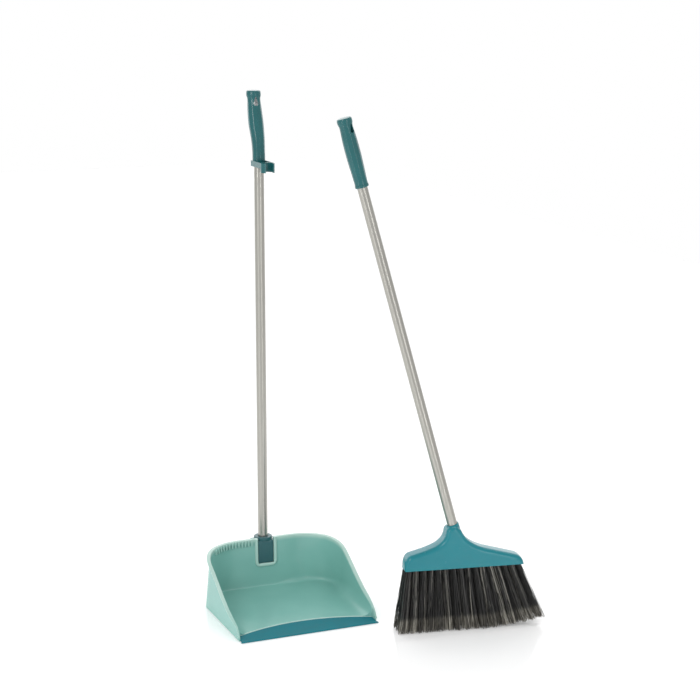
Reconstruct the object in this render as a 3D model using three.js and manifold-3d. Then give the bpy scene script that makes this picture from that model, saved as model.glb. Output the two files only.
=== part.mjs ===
// Long-handled dust pan and broom set. Millimetres, +Z up.
// The origin is the centre of the flat underside of the pan's rubber lip, on the floor.
// The pan's mouth faces -Y. The broom stands beside the pan, its handle leaning towards it.

import * as THREE from 'three';
import { mergeVertices } from 'three/addons/utils/BufferGeometryUtils.js';
import Module from 'manifold-3d';

const wasm = await Module();
wasm.setup();

// ---- Driving dimensions ----------------------------------------------------------------

const GAP = 0.3;                  // clearance between pieces that fit together
const ROUND_STEPS = 28;           // sides of a round piece
const CURVE_STEPS = 10;           // lines to each curve of an outline
const FAR = 400;                  // reach of a cutting solid, well past any piece

const TUBE_D = 18;                // both handles are of the same steel tube
const TUBE_WALL = 0.8;

// Pan. Inside the pan's group, y = 0 is the lip's front edge.
const PAN_HALF_WIDTH = 131;       // outside of the side walls at the floor
const PAN_DEPTH = 232;            // front edge to the outside of the rear wall at the floor
const PAN_HEIGHT = 107;           // rim above the floor, at the middle of the rear wall
const PAN_WALL = 2.4;
const PAN_SIDE_LEAN = -1;         // how far the side walls lean out by the rim; negative is in
const PAN_REAR_LEAN = 2;          // how far the rear wall leans back at the rim
const PAN_BASE_CORNER = 43;       // plan radius of the rear corners at the floor
const PAN_RIM_CORNER = 68;        // and at the rim
const PAN_CORNER_BOW = 14;        // how much larger than between the two it is half way up
const PAN_SIDE_FILLET = 24;       // inside, floor to side wall
const PAN_REAR_FILLET = 18;       // inside, floor to rear wall
const RIM_FLANGE = 4.5;           // the rim turns out this far
const RIM_THICKNESS = 2.4;
const RIM_SIDE_DROP = 5;          // the rim is this much lower at the sides than at the middle
const RAMP_FRONT_Z = 2;           // the pan's floor rises from here at the lip's edge ...
const RAMP_REAR_Z = 12.8;         // ... to here at the rear wall
const REST_SETBACK = 15;          // the origin's distance behind the lip's front edge

// The rim seen from the side: distance behind the lip's edge, share of the pan's height.
const RIM_SIDE = [[0, 0.03], [12, 0.06], [17, 0.135], [25, 0.2], [36, 0.25], [69, 0.365],
  [102, 0.52], [138, 0.715], [166, 0.85], [190, 0.925], [215, 0.97], [242, 1]];
const SIDE_WALL_FRONT = 12;       // the side walls start this far behind the lip's edge

// Comb: ridges inside the rim, on one side of the handle, that clean the bristles
const COMB_PITCH = 6.4;
const COMB_TOOTH = 2.2;
const COMB_PROUD = 2.5;
const COMB_HEIGHT = 11;
const COMB_FROM_SIDE = 26;        // pan's side to the first ridge

// Rubber lip
const LIP_END_CHAMFER = 6;        // its ends slant in over this depth, to fit between the walls
const LIP_END_DEPTH = 25.5;
const LIP_MIDDLE_DEPTH = 52;
const LIP_TONGUE = 8;             // reach of the tongue under the pan's floor

// Broom's place beside the pan
const BROOM_BESIDE = 132.5;       // pan's side to the middle of the head
const BROOM_AHEAD = 70;           // and that far in front of the lip

// Handle connector and its pocket in the rear wall
const HANDLE_BEHIND = 12;         // rear wall's outside at the rim to the tube's axis
const PLUG_WIDTH = 30;
const PLUG_PROUD = 1.5;           // front face to the rear wall's inside, which it follows
const PLUG_BACK = 13;
const PLUG_LENGTH = 42;           // below the collar
const PLUG_FLOOR = 6;             // solid below the tube's end
const WING_WIDTH = 33;            // wings that hold the plug behind the pocket's window
const WING_FRONT = 5;             // far enough back to pass through the collar's seat
const WING_BACK = 2;
const COLLAR_R = 17.2;
const COLLAR_HEIGHT = 7;
const COLLAR_ROUND = 1.6;
const POCKET_WALL = 3;
const BEZEL_WIDTH = 4.2;
const BEZEL_PROUD = 2;

// Grips
const PAN_GRIP_BOTTOM_Z = 813;
const PAN_GRIP_SEAT = 22;         // how deep the tube goes into the grip
const HOLE_WIDTH = 9;             // hanging hole, drop-shaped, narrow end up
const HOLE_HEIGHT = 16;
const HOLE_TIP_R = 1.6;

// Clip that holds the broom's tube for storage
const CLIP_HEIGHT = 10;
const CLIP_HUB_WALL = 3.3;
const CLIP_REACH = 45;            // pan tube's axis to jaw's axis
const CLIP_JAW_WALL = 3.2;
const CLIP_JAW_PLAY = 0.6;        // the broom's tube snaps in with this much room all round
const CLIP_JAW_HEIGHT = 17;
const CLIP_MOUTH_PINCH = 4;       // the jaw's mouth is this much narrower than the tube
const CLIP_ARM_BACK = 8;          // behind the pan tube's axis
const CLIP_SIDE_WALL = 2.6;
const CLIP_WEB = 3;

// Broom. Inside the broom's group, the origin is the middle of the head's underside, +X along
// the head, and the handle's axis passes through that origin.
const BROOM_TURN = THREE.MathUtils.degToRad(-11.2);
const BROOM_LEAN = THREE.MathUtils.degToRad(15.2);
const BRISTLE_LENGTH = 114;       // the head's underside above the floor
const HEAD_HALF_WIDTH = 108;
const HEAD_THICKNESS = 34;
const HEAD_ROUND = 7;             // its shoulders and ends are rounded this far in from outside ...
const HEAD_ROUND_THICKNESS = 9;   // ... over this much of the thickness, front and rear
const NECK_TOP = 81;              // along the handle's axis
const NECK_FOOT = 36;
const NECK_WALL = 2;              // round the tube at the neck's top
const NECK_FLARE = 2.2;           // and this much more at its foot
const SOCKET_BOTTOM = 29;
const BROOM_TUBE_BOTTOM = 61;
const BROOM_GRIP_BOTTOM = 704;
const BROOM_GRIP_SEAT = 70;
const BROOM_GRIP_TURN = THREE.MathUtils.degToRad(42);  // as the screw happens to tighten

// Head seen from the front, from its left end over the neck to its right end: share of the half
// width, height. The ends run on below the underside, which is cut flat.
const HEAD_LEFT_END = [[-1.012, -20], [-1.01, 9]];
const HEAD_LEFT_CORNER = [[-0.995, 25.5], [-0.9, 28]];
const HEAD_SHOULDERS = [[-0.77, 31.8], [-0.635, 36], [-0.485, 42.5], [-0.39, 50], [-0.337, 59],
  [-0.3, 72], [-0.185, 77], [-0.083, 71], [-0.028, 61], [0.04, 51.5], [0.141, 43.2],
  [0.278, 35.8], [0.455, 30], [0.653, 24], [0.861, 17.8]];
const HEAD_RIGHT_CORNER = [[0.975, 14.5], [1.005, 2]];
const HEAD_RIGHT_END = [1.02, -20];

// Screw end of the broom's tube. Its thread is drawn as rings.
const THREAD_INSET = 0.7;         // its crests are this far inside the tube's outside
const THREAD_DEPTH = 0.9;
const THREAD_PITCH = 4.5;
const THREAD_TURNS = 5;
const FERRULE_FLANGE = 2;
const FERRULE_SPIGOT = 28;        // how far it reaches into the tube

// Bristles: round tufts set in blind holes, fanning out towards the floor
const TUFT_ROWS = ['front', 'middle', 'rear'];
const TUFT_COLUMNS = 16;
const TUFT_SIDES = 8;
const TUFT_ROOT_R = 3.7;
const TUFT_ROOT_DEPTH = 9;
const TUFT_FROM_LEFT = 6;         // head's left end to the first tuft's axis
const TUFT_FROM_RIGHT = 11;
const TUFT_SPREAD_LEFT = 10;      // the first tuft's tip is this much further out than its root
const TUFT_SPREAD_RIGHT = 40;
const TUFT_ROOT_ROW = 10.5;         // row to row at the head
const TUFT_TIP_ROW = 19;          // and at the floor
const TUFT_TIP_GAP = 0.8;         // between neighbours at the floor
const TIP_RISE = 12;              // the tips' outline rises this much at the right-hand end ...
const TIP_RISE_START = 0.55;      // ... from this share of the row on

// ---- Sizes that follow -----------------------------------------------------------------

const TUBE_R = TUBE_D / 2;
const TUBE_SEAT_R = TUBE_R + GAP;
const SPIGOT_R = TUBE_R - TUBE_WALL - GAP;
const THREAD_R = TUBE_R - THREAD_INSET;
const NECK_TOP_R = TUBE_SEAT_R + NECK_WALL;
const CLIP_HUB_R = TUBE_SEAT_R + CLIP_HUB_WALL;
const HANDLE_Y = PAN_DEPTH + PAN_REAR_LEAN + HANDLE_BEHIND;
const COLLAR_BOTTOM_Z = PAN_HEIGHT - COLLAR_HEIGHT;
const PLUG_BOTTOM_Z = COLLAR_BOTTOM_Z - PLUG_LENGTH;
const PLUG_HALF = PLUG_WIDTH / 2 + GAP;
const WING_HALF = WING_WIDTH / 2 + GAP;
const RAMP_SLOPE = (RAMP_REAR_Z - RAMP_FRONT_Z) / PAN_DEPTH;
const rampZ = (y) => RAMP_FRONT_Z + RAMP_SLOPE * y;
const mix = THREE.MathUtils.lerp;

// A size of the pan's walls at height z: low at the floor, high at the rim, plus the bow between
function upWall(z, low, high, bow) {
  const share = THREE.MathUtils.clamp(z / PAN_HEIGHT, 0, 1);
  return mix(low, high, share) + 4 * bow * share * (1 - share);
}
const rearWallY = (z) => upWall(z, PAN_DEPTH, PAN_DEPTH + PAN_REAR_LEAN, 0);

// ---- Materials -------------------------------------------------------------------------

const material = (color, roughness, metalness = 0) =>
  new THREE.MeshStandardMaterial({ color, roughness, metalness });

const MINT = material(0x7fb5a8, 0.38);
const LIP_TEAL = material(0x2f8190, 0.6);
const SLATE_TEAL = material(0x356463, 0.5);
const GRIP_TEAL = material(0x2f6c6c, 0.5);
const HEAD_TEAL = material(0x2c8b94, 0.3);
const STEEL = material(0xb9b8b2, 0.35, 1);
const FERRULE_BLACK = material(0x2a2c2e, 0.5);
const BRISTLE_GREY = material(0x3c3c3b, 0.7);

// ---- Solids ----------------------------------------------------------------------------

function solid(geometry) {
  const bare = geometry.index ? geometry.toNonIndexed() : geometry.clone();
  bare.deleteAttribute('normal');
  bare.deleteAttribute('uv');
  const merged = mergeVertices(bare, 1e-4);
  return new wasm.Manifold(new wasm.Mesh({
    numProp: 3,
    vertProperties: new Float32Array(merged.attributes.position.array),
    triVerts: new Uint32Array(merged.index.array),
  }));
}

function piece(name, body, look) {
  const mesh = body.getMesh();
  const geometry = new THREE.BufferGeometry();
  geometry.setAttribute('position', new THREE.BufferAttribute(mesh.vertProperties, 3));
  geometry.setIndex(new THREE.BufferAttribute(mesh.triVerts, 1));
  const part = new THREE.Mesh(geometry, look);
  part.name = name;
  return part;
}

const box = (x0, x1, y0, y1, z0, z1) => solid(new THREE.BoxGeometry(x1 - x0, y1 - y0, z1 - z0)
  .translate((x0 + x1) / 2, (y0 + y1) / 2, (z0 + z1) / 2));

const vector = ([u, v]) => new THREE.Vector2(u, v);
const polygon = (points) => new THREE.Shape(points.map(vector));

// Extrusions of an outline: (x, y) along Z, (y, z) along X, (x, z) along Y.
const extrude = (shape, depth) => new THREE.ExtrudeGeometry(shape,
  { depth, bevelEnabled: false, curveSegments: CURVE_STEPS });
const alongZ = (shape, z0, z1) => extrude(shape, z1 - z0).translate(0, 0, z0);
const alongX = (shape, x0, x1) => extrude(shape, x1 - x0)
  .rotateX(Math.PI / 2).rotateZ(Math.PI / 2).translate(x0, 0, 0);
const alongY = (shape, y0, y1) => extrude(shape, y1 - y0).rotateX(Math.PI / 2).translate(0, y1, 0);

// A closed profile of [radius, height] points turned about Z
const turned = (points, steps = ROUND_STEPS) =>
  new THREE.LatheGeometry(points.map(vector), steps).rotateX(Math.PI / 2);

const rod = (radius, z0, z1) => solid(turned([[0, z0], [radius, z0], [radius, z1], [0, z1]]));

const tube = (z0, z1) => solid(turned([[TUBE_R - TUBE_WALL, z0], [TUBE_R, z0],
  [TUBE_R, z1], [TUBE_R - TUBE_WALL, z1], [TUBE_R - TUBE_WALL, z0]]));

// Skin over level rings of points, lowest first, closed by a flat cap at each end
function loft(rings) {
  const count = rings[0].length;
  const index = [];
  for (let ring = 0; ring < rings.length - 1; ring += 1) {
    for (let i = 0; i < count; i += 1) {
      const a = ring * count + i;
      const b = ring * count + ((i + 1) % count);
      index.push(a, b, b + count, a, b + count, a + count);
    }
  }
  const outline = rings[0].map((p) => new THREE.Vector2(p.x, p.y));
  const top = (rings.length - 1) * count;
  for (const [a, b, c] of THREE.ShapeUtils.triangulateShape(outline, [])) {
    index.push(c, b, a, top + a, top + b, top + c);
  }
  const geometry = new THREE.BufferGeometry();
  geometry.setFromPoints(rings.flat());
  geometry.setIndex(index);
  return solid(geometry);
}

function ellipse(x, y, z, rx, ry, steps = ROUND_STEPS) {
  return Array.from({ length: steps }, (_, i) => {
    const angle = (2 * Math.PI * i) / steps;
    return new THREE.Vector3(x + rx * Math.cos(angle), y + ry * Math.sin(angle), z);
  });
}

// ---- Pan -------------------------------------------------------------------------------

// Plan outline of the walls at height z, moved out by grow: open front, round rear corners
function planRing(z, grow) {
  const half = upWall(z, PAN_HALF_WIDTH, PAN_HALF_WIDTH + PAN_SIDE_LEAN, 0) + grow;
  const rear = rearWallY(z) + grow;
  const radius = upWall(z, PAN_BASE_CORNER, PAN_RIM_CORNER, PAN_CORNER_BOW) + grow;
  const arcSteps = 9;
  const ring = [new THREE.Vector3(-half, -FAR, z), new THREE.Vector3(half, -FAR, z)];
  for (const [side, start] of [[1, 0], [-1, Math.PI / 2]]) {
    for (let i = 0; i <= arcSteps; i += 1) {
      const angle = start + (Math.PI / 2) * (i / arcSteps);
      ring.push(new THREE.Vector3(side * (half - radius) + radius * Math.cos(angle),
        rear - radius + radius * Math.sin(angle), z));
    }
  }
  return ring;
}

const WALL_TOP_Z = PAN_HEIGHT * 1.2;  // the rim's surface trims the walls lower than this
const WALL_SHARES = [0, 0.15, 0.3, 0.45, 0.6, 0.8, 1];
const walls = (grow) => loft([-1, ...WALL_SHARES.map((share) => share * PAN_HEIGHT), WALL_TOP_Z]
  .map((z) => planRing(z, grow)));

// Everything below the rim's surface, lowered by drop
function belowRim(drop) {
  const [first, ...rest] = RIM_SIDE.map(([y, share]) => vector([y, share * PAN_HEIGHT]));
  const side = polygon([[FAR, -FAR], [-FAR, -FAR], [-FAR, first.y], [first.x, first.y]]);
  side.splineThru(rest);
  side.lineTo(FAR, PAN_HEIGHT);
  const half = PAN_HALF_WIDTH + PAN_SIDE_LEAN;
  const sideZ = PAN_HEIGHT - RIM_SIDE_DROP;
  const front = polygon([[FAR, -FAR], [-FAR, -FAR], [-FAR, sideZ], [-half, sideZ]]);
  front.quadraticCurveTo(-half / 2, PAN_HEIGHT, 0, PAN_HEIGHT);
  front.quadraticCurveTo(half / 2, PAN_HEIGHT, half, sideZ);
  front.lineTo(FAR, sideZ);
  return solid(alongX(side, -FAR, FAR)).intersect(solid(alongY(front, -FAR, FAR)))
    .translate(0, 0, -drop);
}

// Trough above the ramp, rounded up into the side walls. Made level, then tilted to the ramp.
function overRamp() {
  const half = PAN_HALF_WIDTH + PAN_SIDE_LEAN * (PAN_SIDE_FILLET / PAN_HEIGHT) - PAN_WALL;
  const shape = polygon([[-FAR, FAR], [-FAR, PAN_SIDE_FILLET], [-half, PAN_SIDE_FILLET]]);
  shape.quadraticCurveTo(-half, 0, -half + PAN_SIDE_FILLET, 0);
  shape.lineTo(half - PAN_SIDE_FILLET, 0);
  shape.quadraticCurveTo(half, 0, half, PAN_SIDE_FILLET);
  shape.lineTo(FAR, PAN_SIDE_FILLET);
  shape.lineTo(FAR, FAR);
  return solid(alongY(shape, -FAR, FAR).rotateX(Math.atan(RAMP_SLOPE))
    .translate(0, 0, RAMP_FRONT_Z));
}

// Everything but the rounded corner between the ramp and the rear wall
function aheadOfRearFillet() {
  const cornerZ = rampZ(PAN_DEPTH);
  const cornerY = rearWallY(cornerZ) - PAN_WALL;
  const startY = cornerY - PAN_REAR_FILLET;
  const endZ = cornerZ + PAN_REAR_FILLET;
  const shape = polygon([[-FAR, FAR], [-FAR, -FAR], [startY, -FAR], [startY, rampZ(startY)]]);
  shape.quadraticCurveTo(cornerY, cornerZ, rearWallY(endZ) - PAN_WALL, endZ);
  shape.lineTo(FAR, endZ);
  shape.lineTo(FAR, FAR);
  return solid(alongX(shape, -FAR, FAR));
}

const panHollow = () => walls(-PAN_WALL).intersect(overRamp()).intersect(aheadOfRearFillet());

// Everything below the ramp's surface, lowered by drop
const belowRamp = (drop) => solid(alongX(polygon([[-FAR, -FAR], [FAR, -FAR],
  [FAR, rampZ(FAR) - drop], [-FAR, rampZ(-FAR) - drop]]), -FAR, FAR));

// Everything ahead of the lip's rear edge, which is moved back by shift and narrowed by trim
function aheadOfLipEdge(shift, trim) {
  const half = PAN_HALF_WIDTH - trim;
  const endHalf = PAN_HALF_WIDTH - PAN_WALL - trim;
  const endY = LIP_END_DEPTH + shift;
  const shape = polygon([[-endHalf, LIP_END_CHAMFER], [-half, 0], [-half, -FAR], [half, -FAR],
    [half, 0], [endHalf, LIP_END_CHAMFER], [endHalf, endY]]);
  shape.quadraticCurveTo(0, 2 * LIP_MIDDLE_DEPTH - LIP_END_DEPTH + shift, -endHalf, endY);
  return solid(alongZ(shape, -FAR, FAR));
}

// Ridges from the pan's side up to the pocket's bezel
function comb() {
  const firstX = COMB_FROM_SIDE - PAN_HALF_WIDTH;
  const slots = [];
  for (let x = firstX; x < -PLUG_HALF - BEZEL_WIDTH - COMB_PITCH; x += COMB_PITCH) {
    slots.push(box(x - COMB_TOOTH / 2, x + COMB_TOOTH / 2, 0, FAR, 0, FAR));
  }
  const liner = walls(-PAN_WALL / 2).subtract(walls(-PAN_WALL - COMB_PROUD));
  const band = belowRim(RIM_THICKNESS / 2).subtract(belowRim(COMB_HEIGHT));
  return wasm.Manifold.union(slots).intersect(liner).intersect(band);
}

// Solid behind the rear wall that the pocket is cut into
function pocketHousing() {
  const half = WING_HALF + POCKET_WALL;
  return box(-half, half, PAN_DEPTH / 2, HANDLE_Y + PLUG_BACK + GAP + POCKET_WALL,
    PLUG_BOTTOM_Z - GAP - POCKET_WALL, COLLAR_BOTTOM_Z - GAP);
}

// Raised U-shaped frame round the pocket's window, on the inside of the rear wall
function pocketBezel() {
  const half = PLUG_HALF + BEZEL_WIDTH;
  const bottom = PLUG_BOTTOM_Z - GAP - BEZEL_WIDTH;
  const frame = polygon([[half, FAR], [-half, FAR], [-half, bottom + BEZEL_WIDTH]]);
  frame.quadraticCurveTo(-half, bottom, 0, bottom);
  frame.quadraticCurveTo(half, bottom, half, bottom + BEZEL_WIDTH);
  return solid(alongY(frame, PAN_DEPTH / 2, FAR)).intersect(walls(0))
    .subtract(walls(-PAN_WALL - BEZEL_PROUD)).intersect(belowRim(0));
}

function pocket() {
  const bottom = PLUG_BOTTOM_Z - GAP;
  const window = box(-PLUG_HALF, PLUG_HALF, PAN_DEPTH / 2, HANDLE_Y + PLUG_BACK + GAP, bottom, FAR);
  const slots = box(-WING_HALF, WING_HALF, HANDLE_Y - WING_FRONT - GAP,
    HANDLE_Y - WING_BACK + GAP, bottom, COLLAR_BOTTOM_Z + 1);
  const collarSeat = rod(COLLAR_R + 2 * GAP, COLLAR_BOTTOM_Z - GAP, FAR).translate(0, HANDLE_Y, 0);
  return window.add(slots).add(collarSeat);
}

function panShell() {
  const rim = walls(RIM_FLANGE).intersect(belowRim(0)).subtract(belowRim(RIM_THICKNESS));
  const blank = walls(0).intersect(belowRim(0)).add(rim).add(pocketHousing());
  const cavity = walls(-PAN_WALL).intersect(belowRamp(PAN_WALL));
  const housingFoot = pocketHousing().subtract(walls(0));
  const front = aheadOfLipEdge(0, 0).add(box(-FAR, FAR, -FAR, SIDE_WALL_FRONT, -FAR, FAR));
  return blank.subtract(panHollow()).subtract(cavity).add(housingFoot).add(comb())
    .add(pocketBezel()).subtract(pocket()).subtract(front);
}

function rubberLip() {
  const strip = aheadOfLipEdge(-GAP, GAP).intersect(belowRamp(0));
  const tongue = aheadOfLipEdge(LIP_TONGUE, LIP_TONGUE).intersect(belowRamp(PAN_WALL + GAP));
  return strip.add(tongue).intersect(box(-FAR, FAR, 0, FAR, 0, FAR));
}

// ---- Pan handle. Inside its group, the tube's axis is the Z axis. ----------------------

function handleConnector() {
  const frontAt = (z) => [rearWallY(z) - PAN_WALL - PLUG_PROUD - HANDLE_Y, z];
  const plug = solid(alongX(polygon([[PLUG_BACK, PLUG_BOTTOM_Z], [PLUG_BACK, COLLAR_BOTTOM_Z],
    frontAt(COLLAR_BOTTOM_Z), frontAt(PLUG_BOTTOM_Z)]), -PLUG_WIDTH / 2, PLUG_WIDTH / 2));
  const wings = box(-WING_WIDTH / 2, WING_WIDTH / 2, -WING_FRONT, -WING_BACK,
    PLUG_BOTTOM_Z, COLLAR_BOTTOM_Z - GAP);
  const collar = solid(turned([[0, COLLAR_BOTTOM_Z], [COLLAR_R - COLLAR_ROUND, COLLAR_BOTTOM_Z],
    [COLLAR_R, COLLAR_BOTTOM_Z + COLLAR_ROUND], [COLLAR_R, PAN_HEIGHT - COLLAR_ROUND],
    [COLLAR_R - COLLAR_ROUND, PAN_HEIGHT], [0, PAN_HEIGHT]]));
  return plug.add(wings).add(collar).subtract(rod(TUBE_SEAT_R, PLUG_BOTTOM_Z + PLUG_FLOOR, FAR));
}

function hangingHole(z) {
  const half = HOLE_WIDTH / 2;
  const shape = new THREE.Shape();
  shape.absarc(0, z + half, half, Math.PI, 2 * Math.PI);
  shape.absarc(0, z + HOLE_HEIGHT - HOLE_TIP_R, HOLE_TIP_R, 0, Math.PI);
  return solid(alongY(shape, -FAR, FAR));
}

// Grip of elliptical sections, seated on a tube. A section is its height, its thickness over the
// tube at the sides and at the front, and how far it is set back.
function grip(sections, seat, holeZ) {
  const rings = sections.map(([z, side, front, back]) =>
    ellipse(0, back, z, TUBE_R + side, TUBE_R + front));
  return loft(rings).subtract(rod(TUBE_SEAT_R, -1, seat)).subtract(hangingHole(holeZ));
}

const PAN_GRIP = [[0, 2.4, 2.4, 0], [16, 2.5, 2.5, 0.6], [34, 3.1, 3, 3], [50, 4, 3.6, 8],
  [66, 4.7, 4.1, 13.5], [88, 4, 3.4, 19.5], [104, 2.9, 2.4, 22.8], [110, 2.9, 2.4, 23.8],
  [114, 4.2, 3.6, 24.4], [119.5, 4.2, 3.6, 25.2], [123, 2.4, 2, 25.6]];
const PAN_GRIP_HOLE_Z = 96;

const BROOM_GRIP = [[0, 2.4, 2.4, 0], [1, 2.9, 2.9, 0], [4, 2.9, 2.9, 0], [6, 2.2, 2.2, 0],
  [24, 2.8, 2.8, 0], [52, 3.8, 3.8, 0], [78, 3.7, 3.7, 0], [100, 2.6, 2.6, 0],
  [106, 2.6, 2.6, 0], [111, 4, 4, 0], [116.5, 4, 4, 0], [120, 2.2, 2.2, 0]];
const BROOM_GRIP_HOLE_Z = 93;

function broomClip() {
  const top = PAN_GRIP_BOTTOM_Z - GAP;
  const bottom = top - CLIP_HEIGHT;
  const above = top + CLIP_HEIGHT;
  const half = CLIP_HUB_R;
  const bore = TUBE_R + CLIP_JAW_PLAY;
  const jawR = bore + CLIP_JAW_WALL;
  const atJaw = (radius, z0) => rod(radius, z0, above).translate(0, -CLIP_REACH, 0);
  const jawBottom = top - CLIP_JAW_HEIGHT;
  const jaw = atJaw(jawR, jawBottom).intersect(box(-FAR, FAR, -FAR, FAR, jawBottom, top));
  const arm = box(-half, half, -CLIP_REACH, CLIP_ARM_BACK, bottom, top)
    .add(rod(CLIP_HUB_R, bottom, top));
  const recess = box(-half + CLIP_SIDE_WALL, half - CLIP_SIDE_WALL, -CLIP_REACH,
    CLIP_ARM_BACK + CLIP_WEB, bottom + CLIP_WEB, above)
    .subtract(rod(CLIP_HUB_R, 0, above)).subtract(atJaw(jawR, 0));
  const mouthHalf = TUBE_R - CLIP_MOUTH_PINCH / 2;
  const mouth = box(-mouthHalf, mouthHalf, -FAR, -CLIP_REACH, 0, above);
  return arm.subtract(recess).add(jaw).subtract(atJaw(bore, 0))
    .subtract(rod(TUBE_SEAT_R, 0, above)).subtract(mouth);
}

// ---- Broom -----------------------------------------------------------------------------

const leaned = (geometry) => solid(geometry.rotateY(-BROOM_LEAN));

// Screw profile from the axis out, up to the flange, with every radius grown by clearance.
// A ring fills half a pitch: its flanks and its crest take a third of that each.
function screwProfile(bottom, clearance) {
  const crest = THREAD_R + clearance;
  const root = crest - THREAD_DEPTH;
  const step = THREAD_PITCH / 6;
  const points = [[0, bottom], [root, bottom]];
  for (let turn = 0; turn < THREAD_TURNS; turn += 1) {
    const z = SOCKET_BOTTOM + GAP + turn * THREAD_PITCH + step;
    points.push([root, z], [crest, z + step], [crest, z + 2 * step], [root, z + 3 * step]);
  }
  return points;
}

const FERRULE_FLANGE_Z = BROOM_TUBE_BOTTOM - GAP - FERRULE_FLANGE;

function screwFerrule() {
  const top = BROOM_TUBE_BOTTOM + FERRULE_SPIGOT;
  const root = THREAD_R - THREAD_DEPTH;
  return solid(turned([...screwProfile(SOCKET_BOTTOM + GAP, 0), [root, FERRULE_FLANGE_Z],
    [TUBE_R, FERRULE_FLANGE_Z], [TUBE_R, BROOM_TUBE_BOTTOM - GAP],
    [SPIGOT_R, BROOM_TUBE_BOTTOM - GAP], [SPIGOT_R, top], [0, top]]));
}

function socket() {
  const root = THREAD_R - THREAD_DEPTH + GAP;
  const top = NECK_TOP + TUBE_D;
  return leaned(turned([...screwProfile(SOCKET_BOTTOM, GAP), [root, FERRULE_FLANGE_Z - GAP],
    [TUBE_SEAT_R, FERRULE_FLANGE_Z - GAP], [TUBE_SEAT_R, top], [0, top]]));
}

const TUFT_ROOTS = [TUFT_FROM_LEFT - HEAD_HALF_WIDTH, HEAD_HALF_WIDTH - TUFT_FROM_RIGHT];
const TUFT_TIPS = [TUFT_ROOTS[0] - TUFT_SPREAD_LEFT, TUFT_ROOTS[1] + TUFT_SPREAD_RIGHT];

// Name of every tuft, with the centres of its root and its tip
function tuftPlaces() {
  return TUFT_ROWS.flatMap((row, rowIndex) =>
    Array.from({ length: TUFT_COLUMNS }, (_, column) => {
      const across = rowIndex - (TUFT_ROWS.length - 1) / 2;
      const along = column / (TUFT_COLUMNS - 1);
      const rising = Math.max(0, (along - TIP_RISE_START) / (1 - TIP_RISE_START));
      return {
        name: `tuft_${row}_${String(column + 1).padStart(2, '0')}`,
        rootX: mix(...TUFT_ROOTS, along),
        rootY: across * TUFT_ROOT_ROW,
        tipX: mix(...TUFT_TIPS, along),
        tipY: across * TUFT_TIP_ROW,
        tipZ: TIP_RISE * rising ** 2 - BRISTLE_LENGTH,
      };
    }));
}

function broomHead() {
  const place = ([share, z]) => vector([share * HEAD_HALF_WIDTH, z]);
  const outline = new THREE.Shape(HEAD_LEFT_END.map(place));
  const roundTo = ([corner, end]) =>
    outline.quadraticCurveTo(...place(corner).toArray(), ...place(end).toArray());
  roundTo(HEAD_LEFT_CORNER);
  outline.splineThru(HEAD_SHOULDERS.map(place));
  roundTo(HEAD_RIGHT_CORNER);
  outline.lineTo(...place(HEAD_RIGHT_END).toArray());
  const points = outline.getPoints(CURVE_STEPS)
    .filter((point, i, all) => point.distanceTo(all.at(i - 1)) > GAP);
  const body = new THREE.ExtrudeGeometry(new THREE.Shape(points), {
    depth: HEAD_THICKNESS - 2 * HEAD_ROUND_THICKNESS,
    bevelThickness: HEAD_ROUND_THICKNESS,
    bevelSize: HEAD_ROUND,
    bevelOffset: -HEAD_ROUND,
    bevelSegments: 4,
  }).rotateX(Math.PI / 2).translate(0, HEAD_THICKNESS / 2 - HEAD_ROUND_THICKNESS, 0);
  const neck = leaned(turned([[0, NECK_FOOT], [NECK_TOP_R + NECK_FLARE, NECK_FOOT],
    [NECK_TOP_R, NECK_TOP], [0, NECK_TOP]]));
  const holes = tuftPlaces().map(({ rootX, rootY }) => loft([-1, TUFT_ROOT_DEPTH + GAP].map(
    (z) => ellipse(rootX, rootY, z, TUFT_ROOT_R + GAP, TUFT_ROOT_R + GAP, TUFT_SIDES))));
  return solid(body).intersect(box(-FAR, FAR, -FAR, FAR, 0, FAR)).add(neck)
    .subtract(socket()).subtract(wasm.Manifold.union(holes));
}

function tuft({ rootX, rootY, tipX, tipY, tipZ }) {
  const tipPitch = (TUFT_TIPS[1] - TUFT_TIPS[0]) / (TUFT_COLUMNS - 1);
  const ring = (x, y, z, rx, ry) => ellipse(x, y, z, rx, ry, TUFT_SIDES);
  return loft([
    ring(tipX, tipY, tipZ, (tipPitch - TUFT_TIP_GAP) / 2, (TUFT_TIP_ROW - TUFT_TIP_GAP) / 2),
    ring(rootX, rootY, -GAP, TUFT_ROOT_R, TUFT_ROOT_R),
    ring(rootX, rootY, TUFT_ROOT_DEPTH, TUFT_ROOT_R, TUFT_ROOT_R),
  ]);
}

// ---- Assembly --------------------------------------------------------------------------

function buildPan() {
  const pan = new THREE.Group();
  pan.position.y = -REST_SETBACK;
  const handle = new THREE.Group();
  handle.position.y = HANDLE_Y;
  const panGrip = piece('pan_grip', grip(PAN_GRIP, PAN_GRIP_SEAT, PAN_GRIP_HOLE_Z), GRIP_TEAL);
  panGrip.position.z = PAN_GRIP_BOTTOM_Z;
  handle.add(
    piece('handle_connector', handleConnector(), SLATE_TEAL),
    piece('pan_tube', tube(PLUG_BOTTOM_Z + PLUG_FLOOR + GAP,
      PAN_GRIP_BOTTOM_Z + PAN_GRIP_SEAT - GAP), STEEL),
    panGrip,
    piece('broom_clip', broomClip(), GRIP_TEAL),
  );
  pan.add(piece('pan_shell', panShell(), MINT), piece('rubber_lip', rubberLip(), LIP_TEAL), handle);
  return pan;
}

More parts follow.
